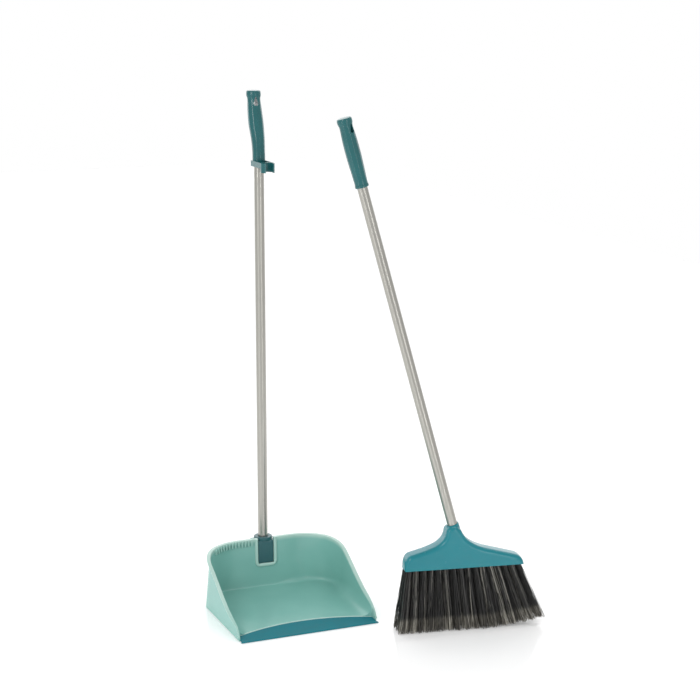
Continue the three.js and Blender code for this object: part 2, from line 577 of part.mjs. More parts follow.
function buildBroom() {
  const broom = new THREE.Group();
  broom.position.set(PAN_HALF_WIDTH + BROOM_BESIDE, -REST_SETBACK - BROOM_AHEAD, BRISTLE_LENGTH);
  broom.rotation.z = BROOM_TURN;
  const handle = new THREE.Group();
  handle.rotation.y = -BROOM_LEAN;
  const broomGrip = piece('broom_grip', grip(BROOM_GRIP, BROOM_GRIP_SEAT, BROOM_GRIP_HOLE_Z),
    GRIP_TEAL);
  broomGrip.position.z = BROOM_GRIP_BOTTOM;
  broomGrip.rotation.z = BROOM_GRIP_TURN;
  handle.add(
    piece('screw_ferrule', screwFerrule(), FERRULE_BLACK),
    piece('broom_tube', tube(BROOM_TUBE_BOTTOM, BROOM_GRIP_BOTTOM + BROOM_GRIP_SEAT - GAP), STEEL),
    broomGrip,
  );
  broom.add(piece('broom_head', broomHead(), HEAD_TEAL), handle);
  tuftPlaces().forEach((place) => broom.add(piece(place.name, tuft(place), BRISTLE_GREY)));
  return broom;
}

const set = new THREE.Group();
set.add(buildPan(), buildBroom());

export default set;
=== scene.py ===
"""Looks of a long-handled dust pan and broom set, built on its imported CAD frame.

Shapes are worked out in millimetres and made in metres. Pan pieces are made with y measured
back from the lip's front edge, and then shifted into the frame. Handle pieces are made upright
round their own axis, and broom pieces round the head's middle, and then leaned and turned into
place. Cutters reach well past what they cut, so their outer sizes are round numbers.
"""
import math

import bmesh
import bpy
import numpy as np
from mathutils import Matrix, Vector


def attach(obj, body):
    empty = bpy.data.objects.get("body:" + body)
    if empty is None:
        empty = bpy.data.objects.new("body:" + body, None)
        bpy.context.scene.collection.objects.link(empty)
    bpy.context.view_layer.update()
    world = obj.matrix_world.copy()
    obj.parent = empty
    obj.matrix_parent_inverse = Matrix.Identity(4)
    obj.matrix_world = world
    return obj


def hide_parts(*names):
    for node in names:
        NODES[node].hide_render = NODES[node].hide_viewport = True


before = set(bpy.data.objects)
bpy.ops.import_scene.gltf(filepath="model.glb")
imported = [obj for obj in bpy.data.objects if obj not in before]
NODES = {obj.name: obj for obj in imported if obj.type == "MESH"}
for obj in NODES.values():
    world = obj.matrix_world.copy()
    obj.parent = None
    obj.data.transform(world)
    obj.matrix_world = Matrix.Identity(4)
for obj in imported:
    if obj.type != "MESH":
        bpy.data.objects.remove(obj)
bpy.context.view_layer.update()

MM = 0.001
UP = np.array((0, 0, 1))
GAP = 0.3                       # clearance between pieces, as in the CAD model

TUBE_R, TUBE_WALL = 9.0, 0.8
PAN_TUBE, BROOM_TUBE = (64.3, 834.7), (61.0, 773.7)     # bottom and top, along each handle

# Pan
LIP_FRONT = -15.0               # y of the lip's front edge
HALF_WIDTH, DEPTH, RIM_Z, WALL = 131.0, 232.0, 107.0, 2.4
SIDE_LEAN, REAR_LEAN = -1.0, 2.0
CORNERS, CORNER_BOW = (43.0, 68.0), 14.0    # plan radius at floor and rim, and its swell
FLANGE = 4.5
RIM_SIDE_DROP = 5.0
RAMP = (2.0, 12.8)              # the floor's height at the lip's front edge and at the rear wall
RAMP_SLOPE = (RAMP[1] - RAMP[0]) / DEPTH
RIM_SIDE = [(0, .03), (12, .06), (17, .135), (25, .2), (36, .25), (69, .365), (102, .52),
            (138, .715), (166, .85), (190, .925), (215, .97), (242, 1)]
SIDE_WALL_FRONT = 12.0
LIP_END, LIP_MIDDLE = 25.5, 52.0    # depth of the rubber lip at its ends and at its middle
HANDLE_Y = 246.0
PLUG = dict(half=15.0, wing=16.5, back=13.0, bottom=58.0, collar=100.0, proud=1.5)
COLLAR_R = 17.2
BEZEL_WIDTH, BEZEL_PROUD = 6.4, 3.2
WING_Y = (-5.0, -2.0)           # the snap wings' front and back, from the handle's axis
HOUSING_WALL = 3.0
RIM_ROLL, FLANGE_THICK = 1.3, 2.4   # inside radius of the rim, and thickness of its edge
COMB_TEETH, COMB_PITCH, COMB_START = 13, 6.4, -105.0
COMB_RIB = (2.9, 5.5, 11.0)     # width, depth and height
COMB_DROP = 1.4                 # from the rim down to the ribs' tops
PAN_GRIP_FOOT = 813.0
CLIP_TOP = PAN_GRIP_FOOT - GAP

# Broom
BRISTLE_LENGTH = 114.0
BROOM_X, BROOM_Y = HALF_WIDTH + 132.5, LIP_FRONT - 70.0
BROOM_LEAN, BROOM_TURN = math.radians(15.2), math.radians(-11.2)
HEAD_HALF, HEAD_HALF_THICK = 108.0, 17.0
NECK_FOOT, NECK_TOP, NECK_R = 36.0, 81.0, (13.5, 11.3)
SOCKET_FLOOR = 58.7             # bottom of the tube's seat in the neck
BROOM_GRIP_FOOT, BROOM_GRIP_TURN = 704.0, math.radians(42)
ROWS = ("front", "middle", "rear")
COLUMNS = 16
ROW_ROOT, ROW_TIP = 10.5, 17.0  # distance between rows, at the roots and at the tips
STRANDS = 7                     # bundles of filaments in a tuft


# ---- Materials --------------------------------------------------------------------------

def linear(hex_colour):
    """Linear colour of an sRGB hex value."""
    parts = [int(hex_colour[i:i + 2], 16) / 255 for i in (1, 3, 5)]
    return (*[p / 12.92 if p <= .04045 else ((p + .055) / 1.055) ** 2.4 for p in parts], 1)


def node(tree, kind, inputs=None, stops=(), **settings):
    """Adds a node with its settings, values or links for its inputs, and a ramp's stops."""
    made = tree.nodes.new(kind)
    for name, value in settings.items():
        setattr(made, name, value)
    for name, value in (inputs or {}).items():
        if isinstance(value, bpy.types.NodeSocket):
            tree.links.new(value, made.inputs[name])
        else:
            made.inputs[name].default_value = value
    for _ in stops[2:]:
        made.color_ramp.elements.new(0.5)
    for place, (position, colour) in enumerate(stops):
        made.color_ramp.elements[place].position = position
        made.color_ramp.elements[place].color = colour
    return made


def grey(value):
    return (value, value, value, 1)


def surface(name, **constants):
    """A new material with the shader's constants set on its own sockets."""
    made = bpy.data.materials.new(name)
    made.use_nodes = True
    shader = made.node_tree.nodes["Principled BSDF"]
    for socket, value in constants.items():
        shader.inputs[socket.replace("_", " ")].default_value = value
    return made, made.node_tree, shader


def moulded_plastic(name, colours, roughness, wave_mm, wave_depth_mm, edge=None):
    """Injection-moulded thermoplastic. The eye sees slow drifts of shade where the melt flowed,
    and a surface that is not quite flat, so that reflections in it waver. Where the mesh carries
    a share of painted rim light, the colour is turned towards the paler edge colour, a painted
    highlight for the light caught on rims and raised edges."""
    flow_mm, scuff_mm = 71.4, 11.1
    made, tree, shader = surface(name, IOR=1.49)
    place = node(tree, "ShaderNodeTexCoord").outputs["Object"]
    flow = node(tree, "ShaderNodeTexNoise", {"Vector": place, "Scale": 1 / (flow_mm * MM),
                                             "Detail": 3.0, "Roughness": .45})
    tint = node(tree, "ShaderNodeValToRGB", {"Fac": flow.outputs["Fac"]},
                stops=[(.3, linear(colours[0])), (.7, linear(colours[1]))]).outputs["Color"]
    # Painted highlight: the paler edge colour is mixed in by the mesh's share of painted rim
    # light.
    if edge:
        painted_rim_light = node(tree, "ShaderNodeAttribute", attribute_name="painted_rim_light").outputs["Fac"]
        tint = node(tree, "ShaderNodeMix", {"Factor": painted_rim_light, 6: tint, 7: linear(edge)},
                    data_type="RGBA").outputs[2]
    tree.links.new(tint, shader.inputs["Base Color"])
    scuff = node(tree, "ShaderNodeTexNoise", {"Vector": place, "Scale": 1 / (scuff_mm * MM),
                                              "Detail": 4.0, "Roughness": .6})
    gloss = node(tree, "ShaderNodeValToRGB", {"Fac": scuff.outputs["Fac"]},
                 stops=[(.3, grey(roughness[0])), (.72, grey(roughness[1]))])
    tree.links.new(gloss.outputs["Color"], shader.inputs["Roughness"])
    wave = node(tree, "ShaderNodeTexNoise", {"Vector": place, "Scale": 1 / (wave_mm * MM),
                                             "Detail": 2.0})
    relief = node(tree, "ShaderNodeBump", {"Height": wave.outputs["Fac"], "Strength": 1.0,
                                           "Distance": wave_depth_mm * MM})
    tree.links.new(relief.outputs["Normal"], shader.inputs["Normal"])
    return made


def drawn_steel(name):
    """Cold-drawn stainless tube. The eye sees a soft grey metal with fine lengthwise die lines
    that stretch reflections into bands along the tube. The lines are drawn 0.2 mm apart and
    200 mm long, coarse enough to show. UV runs once round the tube in x, and in metres along
    it in y."""
    line_mm, line_length_mm = .202, 200
    made, tree, shader = surface(name, Metallic=1.0)
    along = node(tree, "ShaderNodeTexCoord").outputs["UV"]
    scale = (2 * math.pi * TUBE_R / line_mm, 1 / (line_length_mm * MM), 1)
    stretched = node(tree, "ShaderNodeMapping", {"Vector": along, "Scale": scale})
    lines = node(tree, "ShaderNodeTexNoise", {"Vector": stretched.outputs["Vector"],
                                              "Scale": 1.0, "Detail": 3.0,
                                              "Roughness": .7}).outputs["Fac"]
    tint = node(tree, "ShaderNodeValToRGB", {"Fac": lines},
                stops=[(.25, linear("#9c9b95")), (.8, linear("#c4c2bb"))])
    tree.links.new(tint.outputs["Color"], shader.inputs["Base Color"])
    gloss = node(tree, "ShaderNodeValToRGB", {"Fac": lines},
                 stops=[(.2, grey(.24)), (.8, grey(.38))])
    tree.links.new(gloss.outputs["Color"], shader.inputs["Roughness"])
    relief = node(tree, "ShaderNodeBump", {"Height": lines, "Strength": .5,
                                           "Distance": .006 * MM})
    tree.links.new(relief.outputs["Normal"], shader.inputs["Normal"])
    return made


def soft_rubber(name):
    """Thermoplastic elastomer lip. The eye sees a dull, even colour with a powdery grain and
    slightly paler rubbed patches."""
    rub_mm, grain_mm = 28.6, .71
    made, tree, shader = surface(name, IOR=1.5, Specular_IOR_Level=.2)
    place = node(tree, "ShaderNodeTexCoord").outputs["Object"]
    rub = node(tree, "ShaderNodeTexNoise", {"Vector": place, "Scale": 1 / (rub_mm * MM),
                                            "Detail": 5.0, "Roughness": .65}).outputs["Fac"]
    tint = node(tree, "ShaderNodeValToRGB", {"Fac": rub},
                stops=[(.35, linear("#0b6f7b")), (.75, linear("#127985"))])
    tree.links.new(tint.outputs["Color"], shader.inputs["Base Color"])
    gloss = node(tree, "ShaderNodeValToRGB", {"Fac": rub},
                 stops=[(.3, grey(.48)), (.75, grey(.62))])
    tree.links.new(gloss.outputs["Color"], shader.inputs["Roughness"])
    grain = node(tree, "ShaderNodeTexNoise", {"Vector": place, "Scale": 1 / (grain_mm * MM),
                                              "Detail": 2.0})
    relief = node(tree, "ShaderNodeBump", {"Height": grain.outputs["Fac"], "Strength": .8,
                                           "Distance": .05 * MM})
    tree.links.new(relief.outputs["Normal"], shader.inputs["Normal"])
    return made


def bristle_filament(name):
    """Extruded polyester filament with flagged tips. The eye sees charcoal strands of slightly
    different greys, with a waxy sheen, that go pale and fluffy where the ends are split."""
    made, tree, shader = surface(name, IOR=1.55, Roughness=.42)
    tone = node(tree, "ShaderNodeAttribute", attribute_name="tone").outputs["Fac"]
    along = node(tree, "ShaderNodeAttribute", attribute_name="along").outputs["Fac"]
    strand = node(tree, "ShaderNodeValToRGB", {"Fac": tone},
                  stops=[(.0, linear("#121212")), (.45, linear("#313131")),
                         (.75, linear("#5b5a57")), (1.0, linear("#c6c3b8"))])
    flagged = node(tree, "ShaderNodeValToRGB", {"Fac": tone},
                   stops=[(.0, linear("#22211e")), (.4, linear("#5a5750")),
                          (1.0, linear("#dedacd"))])
    split = node(tree, "ShaderNodeMapRange", {"Value": along, "From Min": .76, "From Max": .82})
    colour = node(tree, "ShaderNodeMix", {"Factor": split.outputs["Result"],
                                          6: strand.outputs["Color"],
                                          7: flagged.outputs["Color"]}, data_type="RGBA")
    tree.links.new(colour.outputs[2], shader.inputs["Base Color"])
    return made


# Its edge colour is a painted highlight: the pale tone that rims, bezel, comb and bead show in
# light.
PAN_MINT = moulded_plastic("mint_polypropylene_gloss", ("#7cb4ab", "#84bbb2"), (.2, .27),
                           45, .05, edge="#b3d2c9")
HEAD_TEAL = moulded_plastic("teal_polypropylene_gloss", ("#0a7782", "#0e7e89"), (.2, .28),
                            30, .04)
CONNECTOR_SLATE = moulded_plastic("slate_abs_satin", ("#22545a", "#2b6065"), (.28, .38),
                                  12, .02)
GRIP_TEAL = moulded_plastic("teal_grip_polypropylene_satin", ("#1a595c", "#226568"),
                            (.2, .3), 14, .03)
FERRULE_BLACK = moulded_plastic("black_nylon_matt", ("#222426", "#2c2e30"), (.45, .6),
                                8, .02)
TUBE_STEEL = drawn_steel("drawn_stainless_tube")
LIP_RUBBER = soft_rubber("teal_elastomer_lip")
FILAMENT = bristle_filament("charcoal_flagged_filament")


# ---- Mesh tools -------------------------------------------------------------------------

def mesh_object(name, points_mm, faces):
    """A linked mesh object from points in millimetres, its faces turned outwards."""
    mesh = bpy.data.meshes.new(name)
    mesh.from_pydata([tuple(float(c) * MM for c in p) for p in points_mm], [], faces)
    made = bpy.data.objects.new(name, mesh)
    bpy.context.scene.collection.objects.link(made)
    turn_outwards(made)
    return made


def turn_outwards(obj):
    work = bmesh.new()
    work.from_mesh(obj.data)
    bmesh.ops.remove_doubles(work, verts=work.verts, dist=1e-6)
    bmesh.ops.recalc_face_normals(work, faces=work.faces)
    work.to_mesh(obj.data)
    work.free()


def apply_modifiers(obj):
    """Replaces obj's mesh by what its modifiers make of it."""
    evaluated = obj.evaluated_get(bpy.context.evaluated_depsgraph_get())
    made = bpy.data.meshes.new_from_object(evaluated)
    obj.modifiers.clear()
    obj.data = made
    return obj


def combine(base, *steps):
    """Joins to base or cuts from it, one (operation, object) step after another."""
    for operation, other in steps:
        work = base.modifiers.new("step", "BOOLEAN")
        work.operation = operation
        work.solver = "EXACT"
        work.object = other
        apply_modifiers(base)
        bpy.data.objects.remove(other)
    return base


def round_edges(obj, width, segments=3, angle=30):
    """Rounds the edges of obj that are sharper than angle."""
    work = obj.modifiers.new("round", "BEVEL")
    work.width = width * MM
    work.segments = segments
    work.limit_method = "ANGLE"
    work.angle_limit = math.radians(angle)
    return apply_modifiers(obj)


def prism(name, outline, axis, low, high):
    """Solid between low and high along an axis, from an outline in the other two axes."""
    at = {"x": lambda a, b, c: (c, a, b), "y": lambda a, b, c: (a, c, b),
          "z": lambda a, b, c: (a, b, c)}[axis]
    count = len(outline)
    points = [at(a, b, low) for a, b in outline] + [at(a, b, high) for a, b in outline]
    sides = [(i, (i + 1) % count, (i + 1) % count + count, i + count) for i in range(count)]
    return mesh_object(name, points, [tuple(range(count)), tuple(range(count, 2 * count)),
                                      *sides])


def block(name, x, y, z):
    return prism(name, [(x[0], y[0]), (x[1], y[0]), (x[1], y[1]), (x[0], y[1])], "z", *z)


def loft(name, rings, closed=False):
    """Skin over rings of points, with a flat cap at each end, or joined end to end."""
    count, points = len(rings[0]), [p for ring in rings for p in ring]
    faces = []
    last = len(rings) if closed else len(rings) - 1
    for r in range(last):
        after = (r + 1) % len(rings)
        for i in range(count):
            j = (i + 1) % count
            faces.append((r * count + i, r * count + j, after * count + j, after * count + i))
    if not closed:
        faces += [tuple(range(count)), tuple(range(count * (len(rings) - 1), len(points)))]
    return mesh_object(name, points, faces)


def turned(name, profile, steps=96):
    """A closed profile of (radius, height) turned about the upright axis."""
    rings = [[(r * math.cos(a), r * math.sin(a), z) for r, z in profile]
             for a in np.linspace(0, 2 * math.pi, steps, endpoint=False)]
    return loft(name, rings, closed=True)


def rod(name, radius, low, high, centre=(0, 0)):
    ring = [(centre[0] + radius * math.cos(a), centre[1] + radius * math.sin(a))
            for a in np.linspace(0, 2 * math.pi, 96, endpoint=False)]
    return prism(name, ring, "z", low, high)


def spline(points, steps):
    """Smooth curve through points."""
    known = [np.array(p, float) for p in points]
    padded = [2 * known[0] - known[1], *known, 2 * known[-1] - known[-2]]
    out = []
    for i in range(1, len(padded) - 2):
        a, b, c, d = padded[i - 1:i + 3]
        for t in np.linspace(0, 1, steps, endpoint=False):
            out.append(.5 * (2 * b + (c - a) * t + (2 * a - 5 * b + 4 * c - d) * t ** 2
                             + (3 * b - a - 3 * c + d) * t ** 3))
    return [*out, known[-1]]


def bend(start, corner, end, steps):
    """Quadratic curve from start to end, drawn towards corner."""
    a, b, c = (np.array(p, float) for p in (start, corner, end))
    return [a * (1 - t) ** 2 + 2 * b * t * (1 - t) + c * t ** 2
            for t in np.linspace(0, 1, steps + 1)]


def placed(obj, matrix):
    obj.data.transform(matrix)
    return obj


def shift(obj, x=0, y=0, z=0):
    return placed(obj, Matrix.Translation((x * MM, y * MM, z * MM)))


def smooth_step(value, low, high):
    t = np.clip((value - low) / (high - low), 0, 1)
    return t * t * (3 - 2 * t)


def finish(obj, name, material, body, nodes=(), sharp=35):
    """Shades obj smooth up to the angle sharp, gives it its finish and puts it on its body."""
    obj.name = name
    obj.data.name = name
    obj.data.materials.clear()
    obj.data.materials.append(material)
    work = bmesh.new()
    work.from_mesh(obj.data)
    for face in work.faces:
        face.smooth = True
    for edge in work.edges:
        edge.smooth = len(edge.link_faces) == 2 and edge.calc_face_angle(0) < math.radians(sharp)
    work.to_mesh(obj.data)
    work.free()
    weigh = obj.modifiers.new("weigh", "WEIGHTED_NORMAL")
    weigh.keep_sharp = True
    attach(obj, body)
    if nodes:
        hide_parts(*nodes)
    return obj


# ---- Camera, light and floor --------------------------------------------------------------

def camera():
    data = bpy.data.cameras.new("camera")
    data.lens = 92.9
    data.sensor_width = 36
    data.clip_end = 50
    made = bpy.data.objects.new("camera", data)
    made.location = (-1.102, -2.825, 1.177)
    made.rotation_euler = (math.radians(77.60), 0, math.radians(-22.72))
    bpy.context.scene.collection.objects.link(made)
    bpy.context.scene.camera = made


def area_light(name, place, target, size, watts):
    data = bpy.data.lights.new(name, "AREA")
    data.shape = "RECTANGLE"
    data.size, data.size_y = size
    data.energy = watts
    made = bpy.data.objects.new(name, data)
    made.location = place
    made.rotation_euler = (Vector(target) - Vector(place)).to_track_quat("-Z", "Y").to_euler()
    bpy.context.scene.collection.objects.link(made)


def studio():
    """Evenly lit room, brighter behind the object, with a key softbox on the left, an upright
    strip on each side and a narrow strip overhead. The eye sees the backdrop as plain white."""
    world = bpy.data.worlds.new("studio")
    bpy.context.scene.world = world
    world.use_nodes = True
    tree = world.node_tree
    tree.nodes.clear()
    direction = node(tree, "ShaderNodeTexCoord").outputs["Generated"]
    behind = node(tree, "ShaderNodeVectorMath", {0: direction, 1: (.2, .97, .12)},
                  operation="DOT_PRODUCT").outputs["Value"]
    backdrop = node(tree, "ShaderNodeValToRGB", {"Fac": behind},
                    stops=[(.45, grey(.0)), (.8, grey(.5))])
    height = node(tree, "ShaderNodeSeparateXYZ", {"Vector": direction}).outputs["Z"]
    room = node(tree, "ShaderNodeValToRGB", {"Fac": height},
                stops=[(.0, grey(.37)), (.25, grey(.34)), (.8, grey(.3))])
    total = node(tree, "ShaderNodeVectorMath", {0: backdrop.outputs["Color"],
                                                1: room.outputs["Color"]}).outputs[0]
    lit = node(tree, "ShaderNodeBackground", {"Color": total, "Strength": 2.05})
    seen = node(tree, "ShaderNodeBackground", {"Color": grey(1), "Strength": 1.0})
    eye = node(tree, "ShaderNodeLightPath").outputs["Is Camera Ray"]
    both = node(tree, "ShaderNodeMixShader", {0: eye, 1: lit.outputs[0], 2: seen.outputs[0]})
    node(tree, "ShaderNodeOutputWorld", {"Surface": both.outputs[0]})
    area_light("key_left", (-2.2, -1.6, 2.0), (0, 0, .2), (1.2, 1.2), 24)
    area_light("strip_left", (-2.3, -1.3, .6), (0, 0, .6), (.3, 3.0), 9)
    area_light("strip_right", (.65, -2.8, .6), (.1, 0, .6), (.2, 3.0), 12)
    area_light("strip_over", (.9, .1, 2.3), (.1, .1, 0), (.12, 1.8), 7)


def floor():
    """White laminate sweep, lit a little from below: pale enough to melt into the backdrop,
    glossy enough for a faint mirror image under the bristles."""
    made = bpy.data.materials.new("white_laminate_sweep")
    made.use_nodes = True
    tree = made.node_tree
    tree.nodes.clear()
    haze_mm = 167
    place = node(tree, "ShaderNodeTexCoord").outputs["Object"]
    haze = node(tree, "ShaderNodeTexNoise",
                {"Vector": place, "Scale": 1 / (haze_mm * MM)}).outputs["Fac"]
    white = node(tree, "ShaderNodeValToRGB", {"Fac": haze},
                 stops=[(.3, grey(.97)), (.7, grey(.99))])
    gloss = node(tree, "ShaderNodeValToRGB", {"Fac": haze},
                 stops=[(.3, grey(.05)), (.7, grey(.08))])
    matt = node(tree, "ShaderNodeBsdfDiffuse", {"Color": white.outputs["Color"]})
    sheen = node(tree, "ShaderNodeBsdfGlossy", {"Roughness": gloss.outputs["Color"]})
    coat = node(tree, "ShaderNodeMixShader", {0: .14, 1: matt.outputs[0], 2: sheen.outputs[0]})
    glow = node(tree, "ShaderNodeEmission", {"Color": grey(1), "Strength": .17})
    both = node(tree, "ShaderNodeAddShader", {0: coat.outputs[0], 1: glow.outputs[0]})
    node(tree, "ShaderNodeOutputMaterial", {"Surface": both.outputs[0]})
    left, right, front, rear, level = -2600, 2800, -800, 7000, -.6
    plane = mesh_object("floor", [(left, front, level), (right, front, level),
                                  (right, rear, level), (left, rear, level)], [(0, 1, 2, 3)])
    plane.data.materials.append(made)


# ---- Pan ----------------------------------------------------------------------------------

RIM_LINE = np.array(spline([(y, share * RIM_Z) for y, share in RIM_SIDE], 16))
RIM_END = (HALF_WIDTH + SIDE_LEAN, RIM_Z - RIM_SIDE_DROP)
RIM_LEFT = bend((-RIM_END[0], RIM_END[1]), (-RIM_END[0] / 2, RIM_Z), (0, RIM_Z), 20)
RIM_RIGHT = bend((0, RIM_Z), (RIM_END[0] / 2, RIM_Z), RIM_END, 20)
RIM_ACROSS = np.array([*RIM_LEFT, *RIM_RIGHT[1:]])


def rim_height(x, y):
    """Height of the rim at x, and at y behind the lip's front edge."""
    along = np.interp(y, RIM_LINE[:, 0], RIM_LINE[:, 1])
    across = np.interp(x, RIM_ACROSS[:, 0], RIM_ACROSS[:, 1])
    return min(along, across)


def ramp_height(y):
    return RAMP[0] + RAMP_SLOPE * y


def wall_point(station, z, grow):
    """Point of the walls' plan outline at height z, moved out by grow. A station is
    (part, share), from the right wall's front end round the rear to the left wall's."""
    part, share = station
    high = z / RIM_Z
    half = HALF_WIDTH + SIDE_LEAN * high + grow
    rear = rear_wall_y(z) + grow
    radius = (CORNERS[0] + (CORNERS[1] - CORNERS[0]) * high
              + 4 * CORNER_BOW * high * (1 - high) + grow)
    if part == "right":
        return np.array((half, share * (rear - radius), z))
    if part == "left":
        return np.array((-half, (1 - share) * (rear - radius), z))
    if part == "rear":
        return np.array(((half - radius) * (1 - 2 * share), rear, z))
    side = 1 if part == "right_corner" else -1
    angle = share * math.pi / 2 if side > 0 else (1 + share) * math.pi / 2
    return np.array((side * (half - radius) + radius * math.cos(angle),
                     rear - radius + radius * math.sin(angle), z))


def fillet_radius(x, y):
    """Inside radius between floor and wall: soft at the sides and along the rear's right half,
    tight along the rear's left half."""
    side_radius, rear_radius, tight_radius = 24, 10, 3
    rear = smooth_step(y, 130, 205)
    tight = (1 - smooth_step(x, 20, 60)) * smooth_step(x, -112, -78) * rear
    return (side_radius + (rear_radius - side_radius) * rear
            + (tight_radius - rear_radius) * tight)


def wall_section(station):
    """Section of the wall, rim and floor edge at one station, from the floor round the rim to
    the hollow below the floor."""
    top = RIM_Z
    for _ in range(8):
        x, y = wall_point(station, top, 0)[:2]
        top = rim_height(x, y)
    foot = wall_point(station, ramp_height(y), -WALL)
    radius = fillet_radius(foot[0], foot[1])
    foot = wall_point(station, ramp_height(foot[1]), -WALL - radius)
    low = ramp_height(foot[1])
    roll = min(RIM_ROLL, (top - low) / 3)
    quarter = math.pi / 2

    # Up the inside, its points closer together in the fillet.
    rises = (top - roll - low) * np.linspace(0, 1, 22) ** 1.7
    insets = radius * np.maximum(0, 1 - np.sqrt(rises / radius)) ** 2
    points = [wall_point(station, low + rise, -WALL - inset)
              for rise, inset in zip(rises, insets)]
    points += [wall_point(station, top - roll + roll * math.sin(a),
                          roll * (1 - math.cos(a)) - WALL - insets[-1])
               for a in np.linspace(0, quarter, 5)[1:]]

    # Round the flange's edge, which narrows towards the lip.
    thick = min(FLANGE_THICK, top * .35)
    edge = thick / 2
    flange = FLANGE * (.3 + .7 * smooth_step(y, 14, 60))
    points += [wall_point(station, top - edge + edge * math.sin(a),
                          flange - edge + edge * math.cos(a))
               for a in np.linspace(quarter, -quarter, 9)]

    # Down the outside, and up to the underside of the floor.
    under = min(1.2, (top - thick) / 4)
    points += [wall_point(station, top - thick - under * math.sin(a), under * (1 - math.sin(a)))
               for a in np.linspace(0, quarter, 4)]
    points += [wall_point(station, z, grow)
               for z, grow in ((.5, 0), (0, -.5), (0, .4 - WALL), (.4, -WALL),
                               (max(low - WALL, .5), -WALL))]
    return points


def pan_walls():
    stations = ([("right", s) for s in np.linspace(0, 1, 56)[:-1]]
                + [("right_corner", s) for s in np.linspace(0, 1, 26)[:-1]]
                + [("rear", s) for s in np.linspace(0, 1, 72)[:-1]]
                + [("left_corner", s) for s in np.linspace(0, 1, 26)[:-1]]
                + [("left", s) for s in np.linspace(0, 1, 56)])
    sections = [wall_section(s) for s in stations]
    count = len(sections[0])
    points = [p for section in sections for p in section]
    faces = []
    for s in range(len(sections) - 1):
        for i in range(count - 1):
            faces.append((s * count + i, s * count + i + 1,
                          (s + 1) * count + i + 1, (s + 1) * count + i))
    total = len(points)
    faces.append(tuple(range(0, total, count)))
    faces.append(tuple(range(count - 1, total, count)))
    faces.append(tuple(range(count)))
    faces.append(tuple(range(total - count, total)))
    faces.append((0, total - count, total - 1, count - 1))
    return mesh_object("walls", points, faces)


def lip_arch(back, trim):
    """Curve of the lip's rear edge, moved back, from right to left."""
    half, end = HALF_WIDTH - WALL - trim, LIP_END + back
    return bend((half, end), (0, 2 * LIP_MIDDLE - LIP_END + back), (-half, end), 64)


def lip_outline(back, trim):
    """Plan outline of everything ahead of the lip's rear edge, with its ends trimmed."""
    half, end_half, step_y, ahead = HALF_WIDTH - trim, HALF_WIDTH - WALL - trim, 6, -60
    return [(-end_half, step_y), (-half, 0), (-half, ahead), (half, ahead), (half, 0),
            (end_half, step_y), *[tuple(p) for p in lip_arch(back, trim)]]


def rear_wall_y(z):
    return DEPTH + REAR_LEAN * z / RIM_Z


def pocket_path():
    """Middle line of the bezel: down one side of the window, round its foot and up again."""
    half = PLUG["half"] + GAP + BEZEL_WIDTH / 2
    bottom = PLUG["bottom"] - GAP - BEZEL_WIDTH / 2
    corner = 8.0
    path = [(-half, RIM_Z - 1), (-half, 90), (-half, 75), (-half, bottom + corner)]
    path += [tuple(p) for p in bend((-half, bottom + corner), (-half, bottom),
                                    (-half + corner, bottom), 8)[1:]]
    return path + [(-x, z) for x, z in reversed(path)]


def bezel():
    """Half-round raised band along pocket_path on the rear wall's inside."""
    path = np.array(pocket_path())
    tilt = math.atan2(REAR_LEAN, RIM_Z)
    out = np.array((0, -math.cos(tilt), math.sin(tilt)))
    rings = []
    for i, (x, z) in enumerate(path):
        a, b = path[max(i - 1, 0)], path[min(i + 1, len(path) - 1)]
        along = (b - a) / np.linalg.norm(b - a)
        side = np.array((-along[1], 0, along[0]))
        side[1] = side[2] * REAR_LEAN / RIM_Z
        side /= np.linalg.norm(side)
        base = np.array((x, rear_wall_y(z) - WALL, z))
        ring = []
        for angle in np.linspace(0, math.pi, 9):
            flat = math.copysign(abs(math.cos(angle)) ** .75, math.cos(angle))
            ring.append(base + side * BEZEL_WIDTH / 2 * flat
                        + out * BEZEL_PROUD * math.sin(angle) ** .75)
        ring.append(base - side * BEZEL_WIDTH / 2 - out * WALL / 2)
        ring.append(base + side * BEZEL_WIDTH / 2 - out * WALL / 2)
        rings.append(ring)
    return loft("bezel", rings)


def pocket_housing():
    """Box behind the rear wall that takes the handle's plug."""
    half = PLUG["wing"] + GAP + HOUSING_WALL
    back = HANDLE_Y + PLUG["back"] + GAP + HOUSING_WALL
    low, high = PLUG["bottom"] - GAP - HOUSING_WALL, PLUG["collar"] - GAP
    points = []
    for z in (low, high):
        front = rear_wall_y(z) - WALL / 2
        points += [(-half, front, z), (half, front, z), (half, back, z), (-half, back, z)]
    faces = [(0, 1, 2, 3), (4, 5, 6, 7), (0, 1, 5, 4), (1, 2, 6, 5), (2, 3, 7, 6), (3, 0, 4, 7)]
    box = round_edges(mesh_object("housing", points, faces), 1.4)
    return combine(box, ("DIFFERENCE", pocket_room()), ("DIFFERENCE", wing_slots()))


def pocket_room():
    half = PLUG["half"] + GAP
    return block("room", (-half, half), (180, HANDLE_Y + PLUG["back"] + GAP),
                 (PLUG["bottom"] - GAP, 140))


def wing_slots():
    half = PLUG["wing"] + GAP
    return block("slots", (-half, half),
                 (HANDLE_Y + WING_Y[0] - GAP, HANDLE_Y + WING_Y[1] + GAP),
                 (PLUG["bottom"] - GAP, PLUG["collar"] + 1))


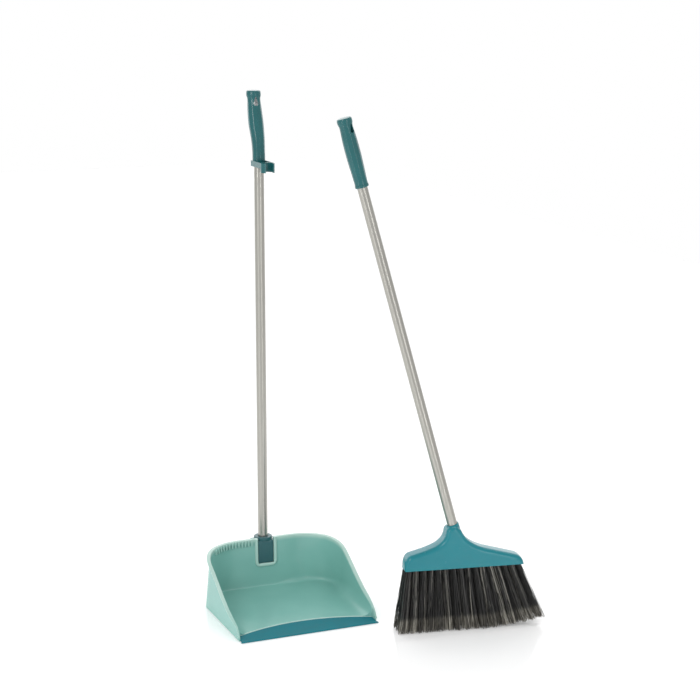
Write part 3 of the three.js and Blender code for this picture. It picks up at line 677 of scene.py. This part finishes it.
def comb_tree():
    """Ribs set along a line of points and turned to the wall, with their sizes as inputs."""
    tree = bpy.data.node_groups.new("comb_ribs", "GeometryNodeTree")
    face = tree.interface
    face.new_socket("Geometry", in_out="OUTPUT", socket_type="NodeSocketGeometry")
    face.new_socket("Geometry", in_out="INPUT", socket_type="NodeSocketGeometry")
    for label, value in zip(("Rib width", "Rib depth", "Rib height"), COMB_RIB):
        socket = face.new_socket(label, in_out="INPUT", socket_type="NodeSocketFloat")
        socket.default_value = value * MM
    source = node(tree, "NodeGroupInput").outputs
    size = node(tree, "ShaderNodeCombineXYZ", {"X": source["Rib width"],
                                               "Y": source["Rib depth"],
                                               "Z": source["Rib height"]})
    rib = node(tree, "GeometryNodeMeshCube", {"Size": size.outputs[0], "Vertices X": 3,
                                              "Vertices Y": 3, "Vertices Z": 4})
    rounded = node(tree, "GeometryNodeSubdivisionSurface", {"Mesh": rib.outputs["Mesh"],
                                                            "Level": 1})
    turn = node(tree, "GeometryNodeInputNamedAttribute", {"Name": "turn"},
                data_type="FLOAT_VECTOR")
    row = node(tree, "GeometryNodeInstanceOnPoints", {"Points": source["Geometry"],
                                                      "Instance": rounded.outputs["Mesh"],
                                                      "Rotation": turn.outputs[0]})
    real = node(tree, "GeometryNodeRealizeInstances", {"Geometry": row.outputs["Instances"]})
    coat = node(tree, "GeometryNodeSetMaterial", {"Geometry": real.outputs["Geometry"],
                                                  "Material": PAN_MINT})
    node(tree, "NodeGroupOutput", {"Geometry": coat.outputs["Geometry"]})
    return tree


def points_object(name, points_mm, **vectors):
    """A mesh of loose points that carry named vectors."""
    mesh = bpy.data.meshes.new(name)
    mesh.from_pydata([tuple(float(c) * MM for c in p) for p in points_mm], [], [])
    for label, values in vectors.items():
        layer = mesh.attributes.new(label, "FLOAT_VECTOR", "POINT")
        layer.data.foreach_set("vector", np.array(values, float).ravel())
    made = bpy.data.objects.new(name, mesh)
    bpy.context.scene.collection.objects.link(made)
    return made


def grow_from(points, tree, **inputs):
    """Runs a Geometry Nodes tree on points and keeps the mesh that it makes."""
    work = points.modifiers.new("grow", "NODES")
    work.node_group = tree
    sockets = {s.name: s.identifier for s in tree.interface.items_tree if s.in_out == "INPUT"}
    for label, value in inputs.items():
        work[sockets[label.replace("_", " ")]] = value
    return apply_modifiers(points)


def comb():
    """Comb ribs under the rim, on the wall's inside, one side of the handle."""
    stations = ([("rear", s) for s in np.linspace(0, 1, 400)]
                + [("left_corner", s) for s in np.linspace(0, 1, 200)])
    level = [wall_point(station, RIM_Z - 9, -WALL) for station in stations]
    sunk = 1.2
    places, turns = [], []
    for tooth in range(COMB_TEETH):
        x = COMB_START + COMB_PITCH * tooth
        nearest = min(range(len(stations)), key=lambda i: abs(level[i][0] - x))
        part, share = stations[nearest]
        z = rim_height(*level[nearest][:2]) - COMB_DROP - COMB_RIB[2] / 2
        places.append(wall_point((part, share), z, -WALL - sunk) + (0, LIP_FRONT, 0))
        heading = 0 if part == "rear" else share * math.pi / 2
        turns.append((-math.atan2(REAR_LEAN, RIM_Z) * math.cos(heading), 0, heading))
    return grow_from(points_object("comb", places, turn=turns), comb_tree())


def paint_rim_light(obj, share):
    """Stores each point's share of painted rim light, a painted highlight, from its place in
    millimetres.
    """
    layer = obj.data.attributes.new("painted_rim_light", "FLOAT", "POINT")
    layer.data.foreach_set("value", [float(share(*(v.co / MM))) for v in obj.data.vertices])
    return obj


def rim_light_share(x, y, z):
    """Share of painted rim light: 1 on the rolled rim, less towards the lip, going to 0 just
    below it.
    """
    towards_rear = .45 + .55 * smooth_step(y, 20, 110)
    return smooth_step(z - rim_height(x, y), -3.2, -1.6) * towards_rear


def build_pan():
    shell = combine(pan_walls(), ("DIFFERENCE", prism("ahead", lip_outline(0, 0), "z", -5, 60)),
                    ("DIFFERENCE", block("front", (-200, 200), (-50, SIDE_WALL_FRONT),
                                         (-5, 60))),
                    ("DIFFERENCE", pocket_room()), ("DIFFERENCE", wing_slots()),
                    ("DIFFERENCE", rod("seat", COLLAR_R + 2 * GAP, PLUG["collar"] - GAP, 140,
                                       centre=(0, HANDLE_Y))))
    # The rim gets painted rim light, a painted highlight that is stronger towards the rear.
    paint_rim_light(shell, rim_light_share)
    finish(shift(shell, y=LIP_FRONT), "pan_bowl", PAN_MINT, "pan", ["pan_shell"])
    # The bezel gets a strong share of painted rim light, a painted highlight.
    raised = paint_rim_light(combine(bezel(), ("DIFFERENCE", pocket_room())), lambda x, y, z: .8)
    finish(shift(raised, y=LIP_FRONT), "pan_pocket_bezel", PAN_MINT, "pan")
    finish(shift(pocket_housing(), y=LIP_FRONT), "pan_pocket", PAN_MINT, "pan")
    # The comb ribs get some painted rim light, a painted highlight that sets them off from the
    # slots.
    finish(paint_rim_light(comb(), lambda x, y, z: .45), "pan_comb", PAN_MINT, "pan")
    # The bead gets a strong share of painted rim light, a painted highlight along the floor's
    # front edge.
    bead = paint_rim_light(front_bead(), lambda x, y, z: .8)
    finish(shift(bead, y=LIP_FRONT), "pan_front_bead", PAN_MINT, "pan")
    finish(shift(lip(), y=LIP_FRONT), "floor_lip", LIP_RUBBER, "pan",
           ["rubber_lip"])


def front_bead():
    """Raised bead along the front edge of the pan's floor, behind the lip."""
    radius, sunk = 1.7, .5
    arch = np.array(lip_arch(1.5, .5))
    rings = []
    for i, (x, y) in enumerate(arch):
        a, b = arch[max(i - 1, 0)], arch[min(i + 1, len(arch) - 1)]
        along = (b - a) / np.linalg.norm(b - a)
        side = np.array((-along[1], along[0], 0))
        base = np.array((x, y, ramp_height(y) - sunk))
        rings.append([base + radius * (side * math.cos(t) + UP * math.sin(t))
                      for t in np.linspace(0, 2 * math.pi, 12, endpoint=False)])
    return loft("bead", rings)


def lip():
    """Rubber lip: a wedge with rounded edges, and a tongue that reaches under the floor."""
    wedge = [(0, 0), (0, RAMP[0]), (80, ramp_height(80)), (80, 0)]
    strip = combine(prism("strip", wedge, "x", -160, 160),
                    ("INTERSECT", prism("reach", lip_outline(-GAP, GAP), "z", -5, 60)))
    # The tongue starts where it has room under the floor.
    front, rear, half, past_lip = (WALL + GAP - RAMP[0]) / RAMP_SLOPE + 4, 60, 118, 8
    under = [(front, 0), (front, ramp_height(front) - WALL - GAP),
             (rear, ramp_height(rear) - WALL - GAP), (rear, 0)]
    tongue = combine(prism("tongue", under, "x", -half, half),
                     ("INTERSECT", prism("reach", lip_outline(past_lip, past_lip), "z", -5, 60)))
    return combine(round_edges(strip, .55), ("UNION", tongue))


# ---- Handle pieces --------------------------------------------------------------------------

def tube(low, high):
    """Steel tube with a UV map that runs round it in x and along it, in metres, in y."""
    inner, chamfer = TUBE_R - TUBE_WALL, .25
    profile = [(inner, low), (TUBE_R - chamfer, low), (TUBE_R, low + chamfer),
               (TUBE_R, high - chamfer), (TUBE_R - chamfer, high), (inner, high)]
    made = turned("tube", profile, steps=72)
    layer = made.data.uv_layers.new(name="UVMap")
    for face in made.data.polygons:
        angles = [math.atan2(made.data.vertices[v].co.y, made.data.vertices[v].co.x)
                  for v in face.vertices]
        seam = max(angles) - min(angles) > math.pi
        for loop, vertex, angle in zip(face.loop_indices, face.vertices, angles):
            round_it = (angle + 2 * math.pi if seam and angle < 0 else angle) / (2 * math.pi)
            layer.data[loop].uv = (round_it, made.data.vertices[vertex].co.z)
    return made


def plug():
    """Handle connector: plug with snap wings, under a rounded collar."""
    half, wing, back, bottom = PLUG["half"], PLUG["wing"], PLUG["back"], PLUG["bottom"]
    collar, seat_floor = PLUG["collar"], PLUG["bottom"] + 6
    front = [(rear_wall_y(z) - WALL - PLUG["proud"] - HANDLE_Y, z)
             for z in (collar + 1, bottom)]
    outline = [(back, bottom), (back, collar + 1), *front]
    body = round_edges(prism("plug", outline, "x", -half, half), 2.2, segments=5)
    wings = round_edges(block("wings", (-wing, wing), WING_Y, (bottom, collar - GAP)), .4,
                        segments=2)

    # The collar's profile: a small lower edge, a larger upper one and a dished top.
    lower, upper, crown, dish = 1.6, 1.8, collar + 7, collar + 4
    edge, mouth = COLLAR_R - lower, TUBE_R + .4
    profile = [(edge + lower * math.sin(t), collar + lower * (1 - math.cos(t)))
               for t in np.linspace(0, math.pi / 2, 5)]
    profile += [(COLLAR_R - upper * (1 - math.cos(t)), crown - upper * (1 - math.sin(t)))
                for t in np.linspace(0, math.pi / 2, 6)]
    profile += [(mouth + .9, crown), (mouth, crown - .8), (mouth, dish), (.01, dish),
                (.01, collar)]
    whole = combine(body, ("UNION", wings), ("UNION", turned("collar", profile)),
                    ("DIFFERENCE", rod("bore", TUBE_R + GAP, seat_floor, 130)))
    return shift(whole, y=HANDLE_Y + LIP_FRONT)


def grip(sections, seat, hole, flutes):
    """Moulded grip from sections of (height, half width, half depth, set back), with shallow
    lengthwise flutes, the tube's seat and a drop-shaped hanging hole."""
    flute_count, flute_depth, fade_length = 10, .035, 10
    rings = []
    for z, half_width, half_depth, back in spline(sections, 7):
        fade = (smooth_step(z, flutes[0], flutes[0] + fade_length)
                * (1 - smooth_step(z, flutes[1] - fade_length, flutes[1])))
        ring = []
        for a in np.linspace(0, 2 * math.pi, 120, endpoint=False):
            share = 1 - fade * flute_depth * (1 + math.cos(flute_count * a)) / 2
            ring.append((half_width * share * math.cos(a),
                         back + half_depth * share * math.sin(a), z))
        rings.append(ring)
    foot, tip, height = 4.5, 1.6, 16
    drop = [(foot * math.cos(t), hole + foot + foot * math.sin(t))
            for t in np.linspace(math.pi, 2 * math.pi, 17)]
    drop += [(tip * math.cos(t), hole + height - tip + tip * math.sin(t))
             for t in np.linspace(0, math.pi, 9)]
    return combine(loft("grip", rings), ("DIFFERENCE", rod("seat", TUBE_R + GAP, -5, seat)),
                   ("DIFFERENCE", prism("hook", drop, "y", -60, 80)))


PAN_GRIP = [(0, 11.0, 11.0, 0), (.8, 11.5, 11.5, 0), (16, 11.5, 11.5, .6), (34, 12.1, 12, 3),
            (50, 13, 12.6, 8), (66, 13.7, 13.1, 13.5), (88, 13, 12.4, 19.5),
            (104, 11.9, 11.4, 22.8), (109.5, 11.9, 11.4, 23.7), (112, 12.7, 12.1, 24.1),
            (114.5, 13.2, 12.6, 24.5), (119, 13.2, 12.6, 25.1), (121.4, 12.7, 12.1, 25.4),
            (122.6, 11.6, 11.1, 25.6), (123, 10, 9.5, 25.6)]
BROOM_GRIP = [(0, 11.3, 11.3, 0), (.8, 11.9, 11.9, 0), (4, 11.9, 11.9, 0), (5.4, 11.2, 11.2, 0),
              (24, 11.8, 11.8, 0), (52, 12.8, 12.8, 0), (78, 12.7, 12.7, 0),
              (100, 11.6, 11.6, 0), (106, 11.6, 11.6, 0), (109, 12.3, 12.3, 0),
              (112, 13, 13, 0), (116.5, 13, 13, 0), (118.8, 12.4, 12.4, 0),
              (119.7, 11.2, 11.2, 0), (120, 9.6, 9.6, 0)]


def clip():
    """Swivel clip: a channelled arm from the hub on the pan's tube to a C-shaped jaw."""
    top, half, wall = CLIP_TOP, 12.6, 2.6
    low, jaw_low, reach = top - 10, top - 17, -45
    bore, jaw = TUBE_R + 2 * GAP, (0, reach)
    arm = combine(block("arm", (-half, half), (reach, 8), (low, top)),
                  ("UNION", rod("hub", half, low, top)),
                  ("DIFFERENCE", block("channel", (wall - half, half - wall),
                                       (reach + 1, 12), (low + 3, top + 5))),
                  ("UNION", rod("hub", half - .01, low + .01, top - .01)),
                  ("UNION", rod("jaw", bore + 3.2, jaw_low, top, jaw)),
                  ("DIFFERENCE", rod("bore", bore, jaw_low - 5, top + 5, jaw)),
                  ("DIFFERENCE", rod("seat", TUBE_R + GAP, low - 5, top + 5)),
                  ("DIFFERENCE", block("mouth", (-7, 7), (reach - 35, reach),
                                       (jaw_low - 5, top + 5))))
    return shift(round_edges(arm, .5, segments=2, angle=40), y=HANDLE_Y + LIP_FRONT)


# ---- Broom ----------------------------------------------------------------------------------

HEAD_MIDDLE = (Matrix.Translation((BROOM_X * MM, BROOM_Y * MM, BRISTLE_LENGTH * MM))
               @ Matrix.Rotation(BROOM_TURN, 4, "Z"))
HANDLE_AXIS = HEAD_MIDDLE @ Matrix.Rotation(-BROOM_LEAN, 4, "Y")


def head_outline():
    """Front outline of the head's block, as (share of its half width, height), from its left end
    up over the shoulders and the neck's foot to its right end."""
    end = [(-1.012, -6), (-1.01, 9)]
    shoulders = [(-.9, 28), (-.77, 31.8), (-.635, 36), (-.485, 42.5), (-.39, 50), (-.337, 59),
                 (-.3, 72), (-.185, 77), (-.083, 71), (-.028, 61), (.04, 51.5), (.141, 43.2),
                 (.278, 35.8), (.455, 30), (.653, 24), (.861, 17.8)]
    line = [np.array(end[0])]
    line += bend(end[1], (-.995, 25.5), shoulders[0], 10)[:-1]
    line += spline(shoulders, 8)[:-1]
    line += bend(shoulders[-1], (.975, 14.5), (1.005, 2), 12)
    line.append(np.array((1.02, -6)))
    return np.array([(x * HEAD_HALF, z) for x, z in line])


def moved_in(outline, distance):
    """The outline with every point moved in along its own normal."""
    before, after = np.roll(outline, 1, axis=0), np.roll(outline, -1, axis=0)
    along = after - before
    along /= np.linalg.norm(along, axis=1)[:, None]
    return outline + distance * np.stack((along[:, 1], -along[:, 0]), axis=1)


def head():
    """Broom head: a block with rounded shoulders that runs up into the leaning neck. The two
    are melted together on a fine grid, so the shoulders flow into the neck."""
    outline, round_y, round_in = head_outline(), 9, 7
    rings = []
    for angle in np.linspace(-math.pi / 2, math.pi / 2, 17):
        flat = (HEAD_HALF_THICK - round_y) * np.sign(round(angle, 6))
        y = flat + round_y * math.sin(angle)
        rings.append([(x, y, z) for x, z in moved_in(outline, round_in * (1 - math.cos(angle)))])
    lean = Matrix.Rotation(-BROOM_LEAN, 4, "Y")
    neck = turned("neck", [(.01, NECK_FOOT), (NECK_R[0], NECK_FOOT), (NECK_R[1], NECK_TOP),
                           (.01, NECK_TOP)])
    whole = combine(loft("head", rings), ("UNION", placed(neck, lean)))
    melt = whole.modifiers.new("melt", "REMESH")
    melt.mode = "VOXEL"
    melt.voxel_size = .95 * MM
    soften = whole.modifiers.new("soften", "SMOOTH")
    soften.factor = .5
    soften.iterations = 4
    apply_modifiers(whole)
    return combine(whole,
                   ("DIFFERENCE", block("below", (-150, 150), (-40, 40), (-30, 0))),
                   ("DIFFERENCE", placed(rod("bore", TUBE_R + GAP, SOCKET_FLOOR, 130), lean)))


def tuft_places(row):
    """(root, tip) of every tuft in a row, from the head's left end to its right, where the
    tips rise a little."""
    root_left, root_right, tip_left, tip_right = -102, 97, -114, 138
    across = ROWS.index(row) - 1
    places = []
    for column in range(COLUMNS):
        along = column / (COLUMNS - 1)
        rise = 12 * max(0, (along - .55) / .45) ** 2
        places.append(((root_left + (root_right - root_left) * along, across * ROW_ROOT, 1.5),
                       (tip_left + (tip_right - tip_left) * along, across * ROW_TIP,
                        rise - BRISTLE_LENGTH)))
    return places


def bristle_tree():
    """Filaments from each tuft's root to its tip, in strands that spread and wave."""
    tree = bpy.data.node_groups.new("bristle_tufts", "GeometryNodeTree")
    face = tree.interface
    face.new_socket("Geometry", in_out="OUTPUT", socket_type="NodeSocketGeometry")
    face.new_socket("Geometry", in_out="INPUT", socket_type="NodeSocketGeometry")
    for label, kind, value in (("Filaments", "NodeSocketInt", 120),
                               ("Seed", "NodeSocketInt", 3),
                               ("Filament radius", "NodeSocketFloat", .34 * MM),
                               ("Root radius", "NodeSocketFloat", 5.4 * MM),
                               ("Tip half width", "NodeSocketFloat", 13.5 * MM),
                               ("Tip half depth", "NodeSocketFloat", 9.0 * MM),
                               ("Wave", "NodeSocketFloat", .9 * MM),
                               ("Uneven ends", "NodeSocketFloat", .035)):
        face.new_socket(label, in_out="INPUT", socket_type=kind).default_value = value
    source = node(tree, "NodeGroupInput").outputs
    circle = 2 * math.pi

    # One point for each filament, which knows the number of its tuft and draws its strand.
    roots = node(tree, "GeometryNodeMeshToPoints", {"Mesh": source["Geometry"]}).outputs[0]
    index = node(tree, "GeometryNodeInputIndex").outputs[0]
    numbered = node(tree, "GeometryNodeStoreNamedAttribute",
                    {"Geometry": roots, "Name": "tuft", "Value": index},
                    data_type="FLOAT", domain="POINT").outputs["Geometry"]
    points = node(tree, "GeometryNodeDuplicateElements",
                  {"Geometry": numbered, "Amount": source["Filaments"]},
                  domain="POINT").outputs["Geometry"]
    own = {}
    for label, offset, low, high in (("strand", 1, 0, STRANDS - .001), ("angle", 2, 0, circle),
                                     ("radius", 3, 0, 1), ("tone", 6, 0, 1),
                                     ("phase", 7, 0, circle), ("shortness", 8, 0, 1)):
        seed = node(tree, "FunctionNodeIntegerMath", {0: source["Seed"], 1: offset}).outputs[0]
        own[label] = node(tree, "FunctionNodeRandomValue", {"Seed": seed, 2: low, 3: high},
                          data_type="FLOAT").outputs[1]
    strand = node(tree, "ShaderNodeMath", {0: own["strand"]}, operation="FLOOR").outputs[0]
    tuft = node(tree, "GeometryNodeInputNamedAttribute", {"Name": "tuft"},
                data_type="FLOAT").outputs[0]
    number = node(tree, "ShaderNodeMath", {0: tuft, 1: STRANDS, 2: strand},
                  operation="MULTIPLY_ADD").outputs[0]
    strand_id = node(tree, "FunctionNodeFloatToInt", {0: number}).outputs[0]
    shared = {}
    for label, offset, low, high in (("turn", 9, 0, .9), ("radius", 4, .35, .95),
                                     ("tone", 5, 0, 1)):
        seed = node(tree, "FunctionNodeIntegerMath", {0: source["Seed"], 1: offset}).outputs[0]
        shared[label] = node(tree, "FunctionNodeRandomValue",
                             {"Seed": seed, 2: low, 3: high, "ID": strand_id},
                             data_type="FLOAT").outputs[1]

    # A place of its own in a disc, and the strand's place in it, which draws the tips together.
    spoke = node(tree, "ShaderNodeMath", {0: own["radius"]}, operation="SQRT").outputs[0]
    spoke = node(tree, "ShaderNodeCombineXYZ", {"X": spoke}).outputs[0]
    loose = node(tree, "ShaderNodeVectorRotate", {"Vector": spoke, "Angle": own["angle"]},
                 rotation_type="Z_AXIS").outputs[0]
    turn = node(tree, "ShaderNodeMath", {0: strand, 1: circle / STRANDS, 2: shared["turn"]},
                operation="MULTIPLY_ADD").outputs[0]
    spoke = node(tree, "ShaderNodeCombineXYZ", {"X": shared["radius"]}).outputs[0]
    bundle = node(tree, "ShaderNodeVectorRotate", {"Vector": spoke, "Angle": turn},
                  rotation_type="Z_AXIS").outputs[0]
    gathered = node(tree, "ShaderNodeMix", {0: .38, 4: bundle, 5: loose},
                    data_type="VECTOR").outputs[1]
    tip_size = node(tree, "ShaderNodeCombineXYZ", {"X": source["Tip half width"],
                                                   "Y": source["Tip half depth"]}).outputs[0]
    near = node(tree, "ShaderNodeVectorMath", {0: loose, "Scale": source["Root radius"]},
                operation="SCALE").outputs[0]
    far = node(tree, "ShaderNodeVectorMath", {0: gathered, 1: tip_size},
               operation="MULTIPLY").outputs[0]

    # A tone of grey, mostly the strand's, and a length that falls a little short.
    shade = node(tree, "ShaderNodeMath", {0: own["tone"], 1: 2.2}, operation="POWER").outputs[0]
    shade = node(tree, "ShaderNodeMath", {0: shade, 1: .5}, operation="MULTIPLY").outputs[0]
    tone = node(tree, "ShaderNodeMath", {0: shared["tone"], 1: 1.6},
                operation="POWER").outputs[0]
    tone = node(tree, "ShaderNodeMath", {0: tone, 1: .6, 2: shade},
                operation="MULTIPLY_ADD").outputs[0]
    short = node(tree, "ShaderNodeMath", {0: own["shortness"], 1: 1.5},
                 operation="POWER").outputs[0]
    short = node(tree, "ShaderNodeMath", {0: short, 1: source["Uneven ends"]},
                 operation="MULTIPLY").outputs[0]
    reach = node(tree, "ShaderNodeMath", {0: 1.0, 1: short}, operation="SUBTRACT").outputs[0]
    where = node(tree, "GeometryNodeInputPosition").outputs[0]
    for label, kind, value in (("tone", "FLOAT", tone), ("near", "FLOAT_VECTOR", near),
                               ("far", "FLOAT_VECTOR", far), ("root", "FLOAT_VECTOR", where),
                               ("phase", "FLOAT", own["phase"]), ("reach", "FLOAT", reach)):
        points = node(tree, "GeometryNodeStoreNamedAttribute",
                      {"Geometry": points, "Name": label, "Value": value},
                      data_type=kind, domain="POINT").outputs["Geometry"]

    # A straight rod on every point. Each vertex knows how far along it is, and which way out.
    # The rods are made real here, because each is then bent by its own point's values.
    rod_mesh = node(tree, "GeometryNodeMeshCylinder", {
        "Vertices": 3, "Side Segments": 6, "Radius": source["Filament radius"],
        "Depth": 1.0}).outputs["Mesh"]
    height = node(tree, "ShaderNodeSeparateXYZ", {0: where}).outputs["Z"]
    height = node(tree, "ShaderNodeMath", {0: height, 1: .5}, operation="ADD").outputs[0]
    outward = node(tree, "ShaderNodeVectorMath", {0: where, 1: (1.0, 1.0, 0.0)},
                   operation="MULTIPLY").outputs[0]
    for label, kind, value in (("along", "FLOAT", height), ("ring", "FLOAT_VECTOR", outward)):
        rod_mesh = node(tree, "GeometryNodeStoreNamedAttribute",
                        {"Geometry": rod_mesh, "Name": label, "Value": value},
                        data_type=kind, domain="POINT").outputs["Geometry"]
    rods = node(tree, "GeometryNodeInstanceOnPoints", {"Points": points, "Instance": rod_mesh})
    real = node(tree, "GeometryNodeRealizeInstances",
                {"Geometry": rods.outputs["Instances"]}).outputs["Geometry"]

    # Bent from root to tip, opened out on the way, with a wave that grows towards the tip.
    read = {}
    for label, kind in (("along", "FLOAT"), ("reach", "FLOAT"), ("phase", "FLOAT"),
                        ("root", "FLOAT_VECTOR"), ("tip", "FLOAT_VECTOR"),
                        ("near", "FLOAT_VECTOR"), ("far", "FLOAT_VECTOR"),
                        ("ring", "FLOAT_VECTOR")):
        read[label] = node(tree, "GeometryNodeInputNamedAttribute", {"Name": label},
                           data_type=kind).outputs[0]
    share = node(tree, "ShaderNodeMath", {0: read["along"], 1: read["reach"]},
                 operation="MULTIPLY").outputs[0]
    place = node(tree, "ShaderNodeMix", {0: share, 4: read["root"], 5: read["tip"]},
                 data_type="VECTOR").outputs[1]
    opened = node(tree, "ShaderNodeMath", {0: read["along"], 1: .9},
                  operation="POWER").outputs[0]
    spread = node(tree, "ShaderNodeMix", {0: opened, 4: read["near"], 5: read["far"]},
                  data_type="VECTOR").outputs[1]
    swings = []
    for turns, phases, shape in ((9.0, 1.0, "SINE"), (7.0, 2.0, "COSINE")):
        start = node(tree, "ShaderNodeMath", {0: read["phase"], 1: phases},
                     operation="MULTIPLY").outputs[0]
        angle = node(tree, "ShaderNodeMath", {0: read["along"], 1: turns, 2: start},
                     operation="MULTIPLY_ADD").outputs[0]
        swings.append(node(tree, "ShaderNodeMath", {0: angle}, operation=shape).outputs[0])
    size = node(tree, "ShaderNodeMath", {0: read["along"], 1: source["Wave"]},
                operation="MULTIPLY").outputs[0]
    sway = node(tree, "ShaderNodeCombineXYZ", {"X": swings[0], "Y": swings[1]}).outputs[0]
    sway = node(tree, "ShaderNodeVectorMath", {0: sway, "Scale": size},
                operation="SCALE").outputs[0]
    for part in (spread, sway, read["ring"]):
        place = node(tree, "ShaderNodeVectorMath", {0: place, 1: part},
                     operation="ADD").outputs[0]
    grown = node(tree, "GeometryNodeSetPosition", {"Geometry": real, "Position": place})
    coat = node(tree, "GeometryNodeSetMaterial", {"Geometry": grown.outputs[0],
                                                  "Material": FILAMENT})
    node(tree, "NodeGroupOutput", {"Geometry": coat.outputs[0]})
    return tree


def build_broom():
    finish(placed(head(), HEAD_MIDDLE), "broom_block", HEAD_TEAL, "broom_head",
           ["broom_head"], sharp=50)
    tree = bristle_tree()
    for seed, row in enumerate(ROWS):
        places = tuft_places(row)
        tufts = points_object(f"tufts_{row}", [root for root, _ in places],
                              tip=[tuple(c * MM for c in tip) for _, tip in places])
        grow_from(tufts, tree, Seed=11 + 20 * seed)
        placed(tufts, HEAD_MIDDLE)
        tufts.name = f"bristles_{row}"
        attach(tufts, "broom_head")
        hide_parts(*[f"tuft_{row}_{i + 1:02d}" for i in range(COLUMNS)])

    finish(placed(tube(*BROOM_TUBE), HANDLE_AXIS), "broom_steel_tube", TUBE_STEEL,
           "broom_handle", ["broom_tube"])
    foot = Matrix.Translation((0, 0, BROOM_GRIP_FOOT * MM))
    turn = HANDLE_AXIS @ foot @ Matrix.Rotation(BROOM_GRIP_TURN, 4, "Z")
    handle = placed(grip(BROOM_GRIP, seat=70, hole=93, flutes=(8, 104)), turn)
    finish(handle, "broom_hand_grip", GRIP_TEAL, "broom_handle", ["broom_grip"])
    for slot in NODES["screw_ferrule"].material_slots:
        slot.material = FERRULE_BLACK


def build_handle():
    finish(shift(tube(*PAN_TUBE), y=HANDLE_Y + LIP_FRONT), "pan_steel_tube", TUBE_STEEL,
           "pan_handle", ["pan_tube"])
    finish(plug(), "handle_plug", CONNECTOR_SLATE, "pan_handle",
           ["handle_connector"])
    handle = shift(grip(PAN_GRIP, seat=22, hole=96, flutes=(8, 106)),
                   y=HANDLE_Y + LIP_FRONT, z=PAN_GRIP_FOOT)
    finish(handle, "pan_hand_grip", GRIP_TEAL, "pan_handle", ["pan_grip"])
    finish(clip(), "tube_clip", GRIP_TEAL, "clip", ["broom_clip"])


camera()
studio()
floor()
build_pan()
build_handle()
build_broom()
bpy.context.scene.view_settings.view_transform = "Standard"
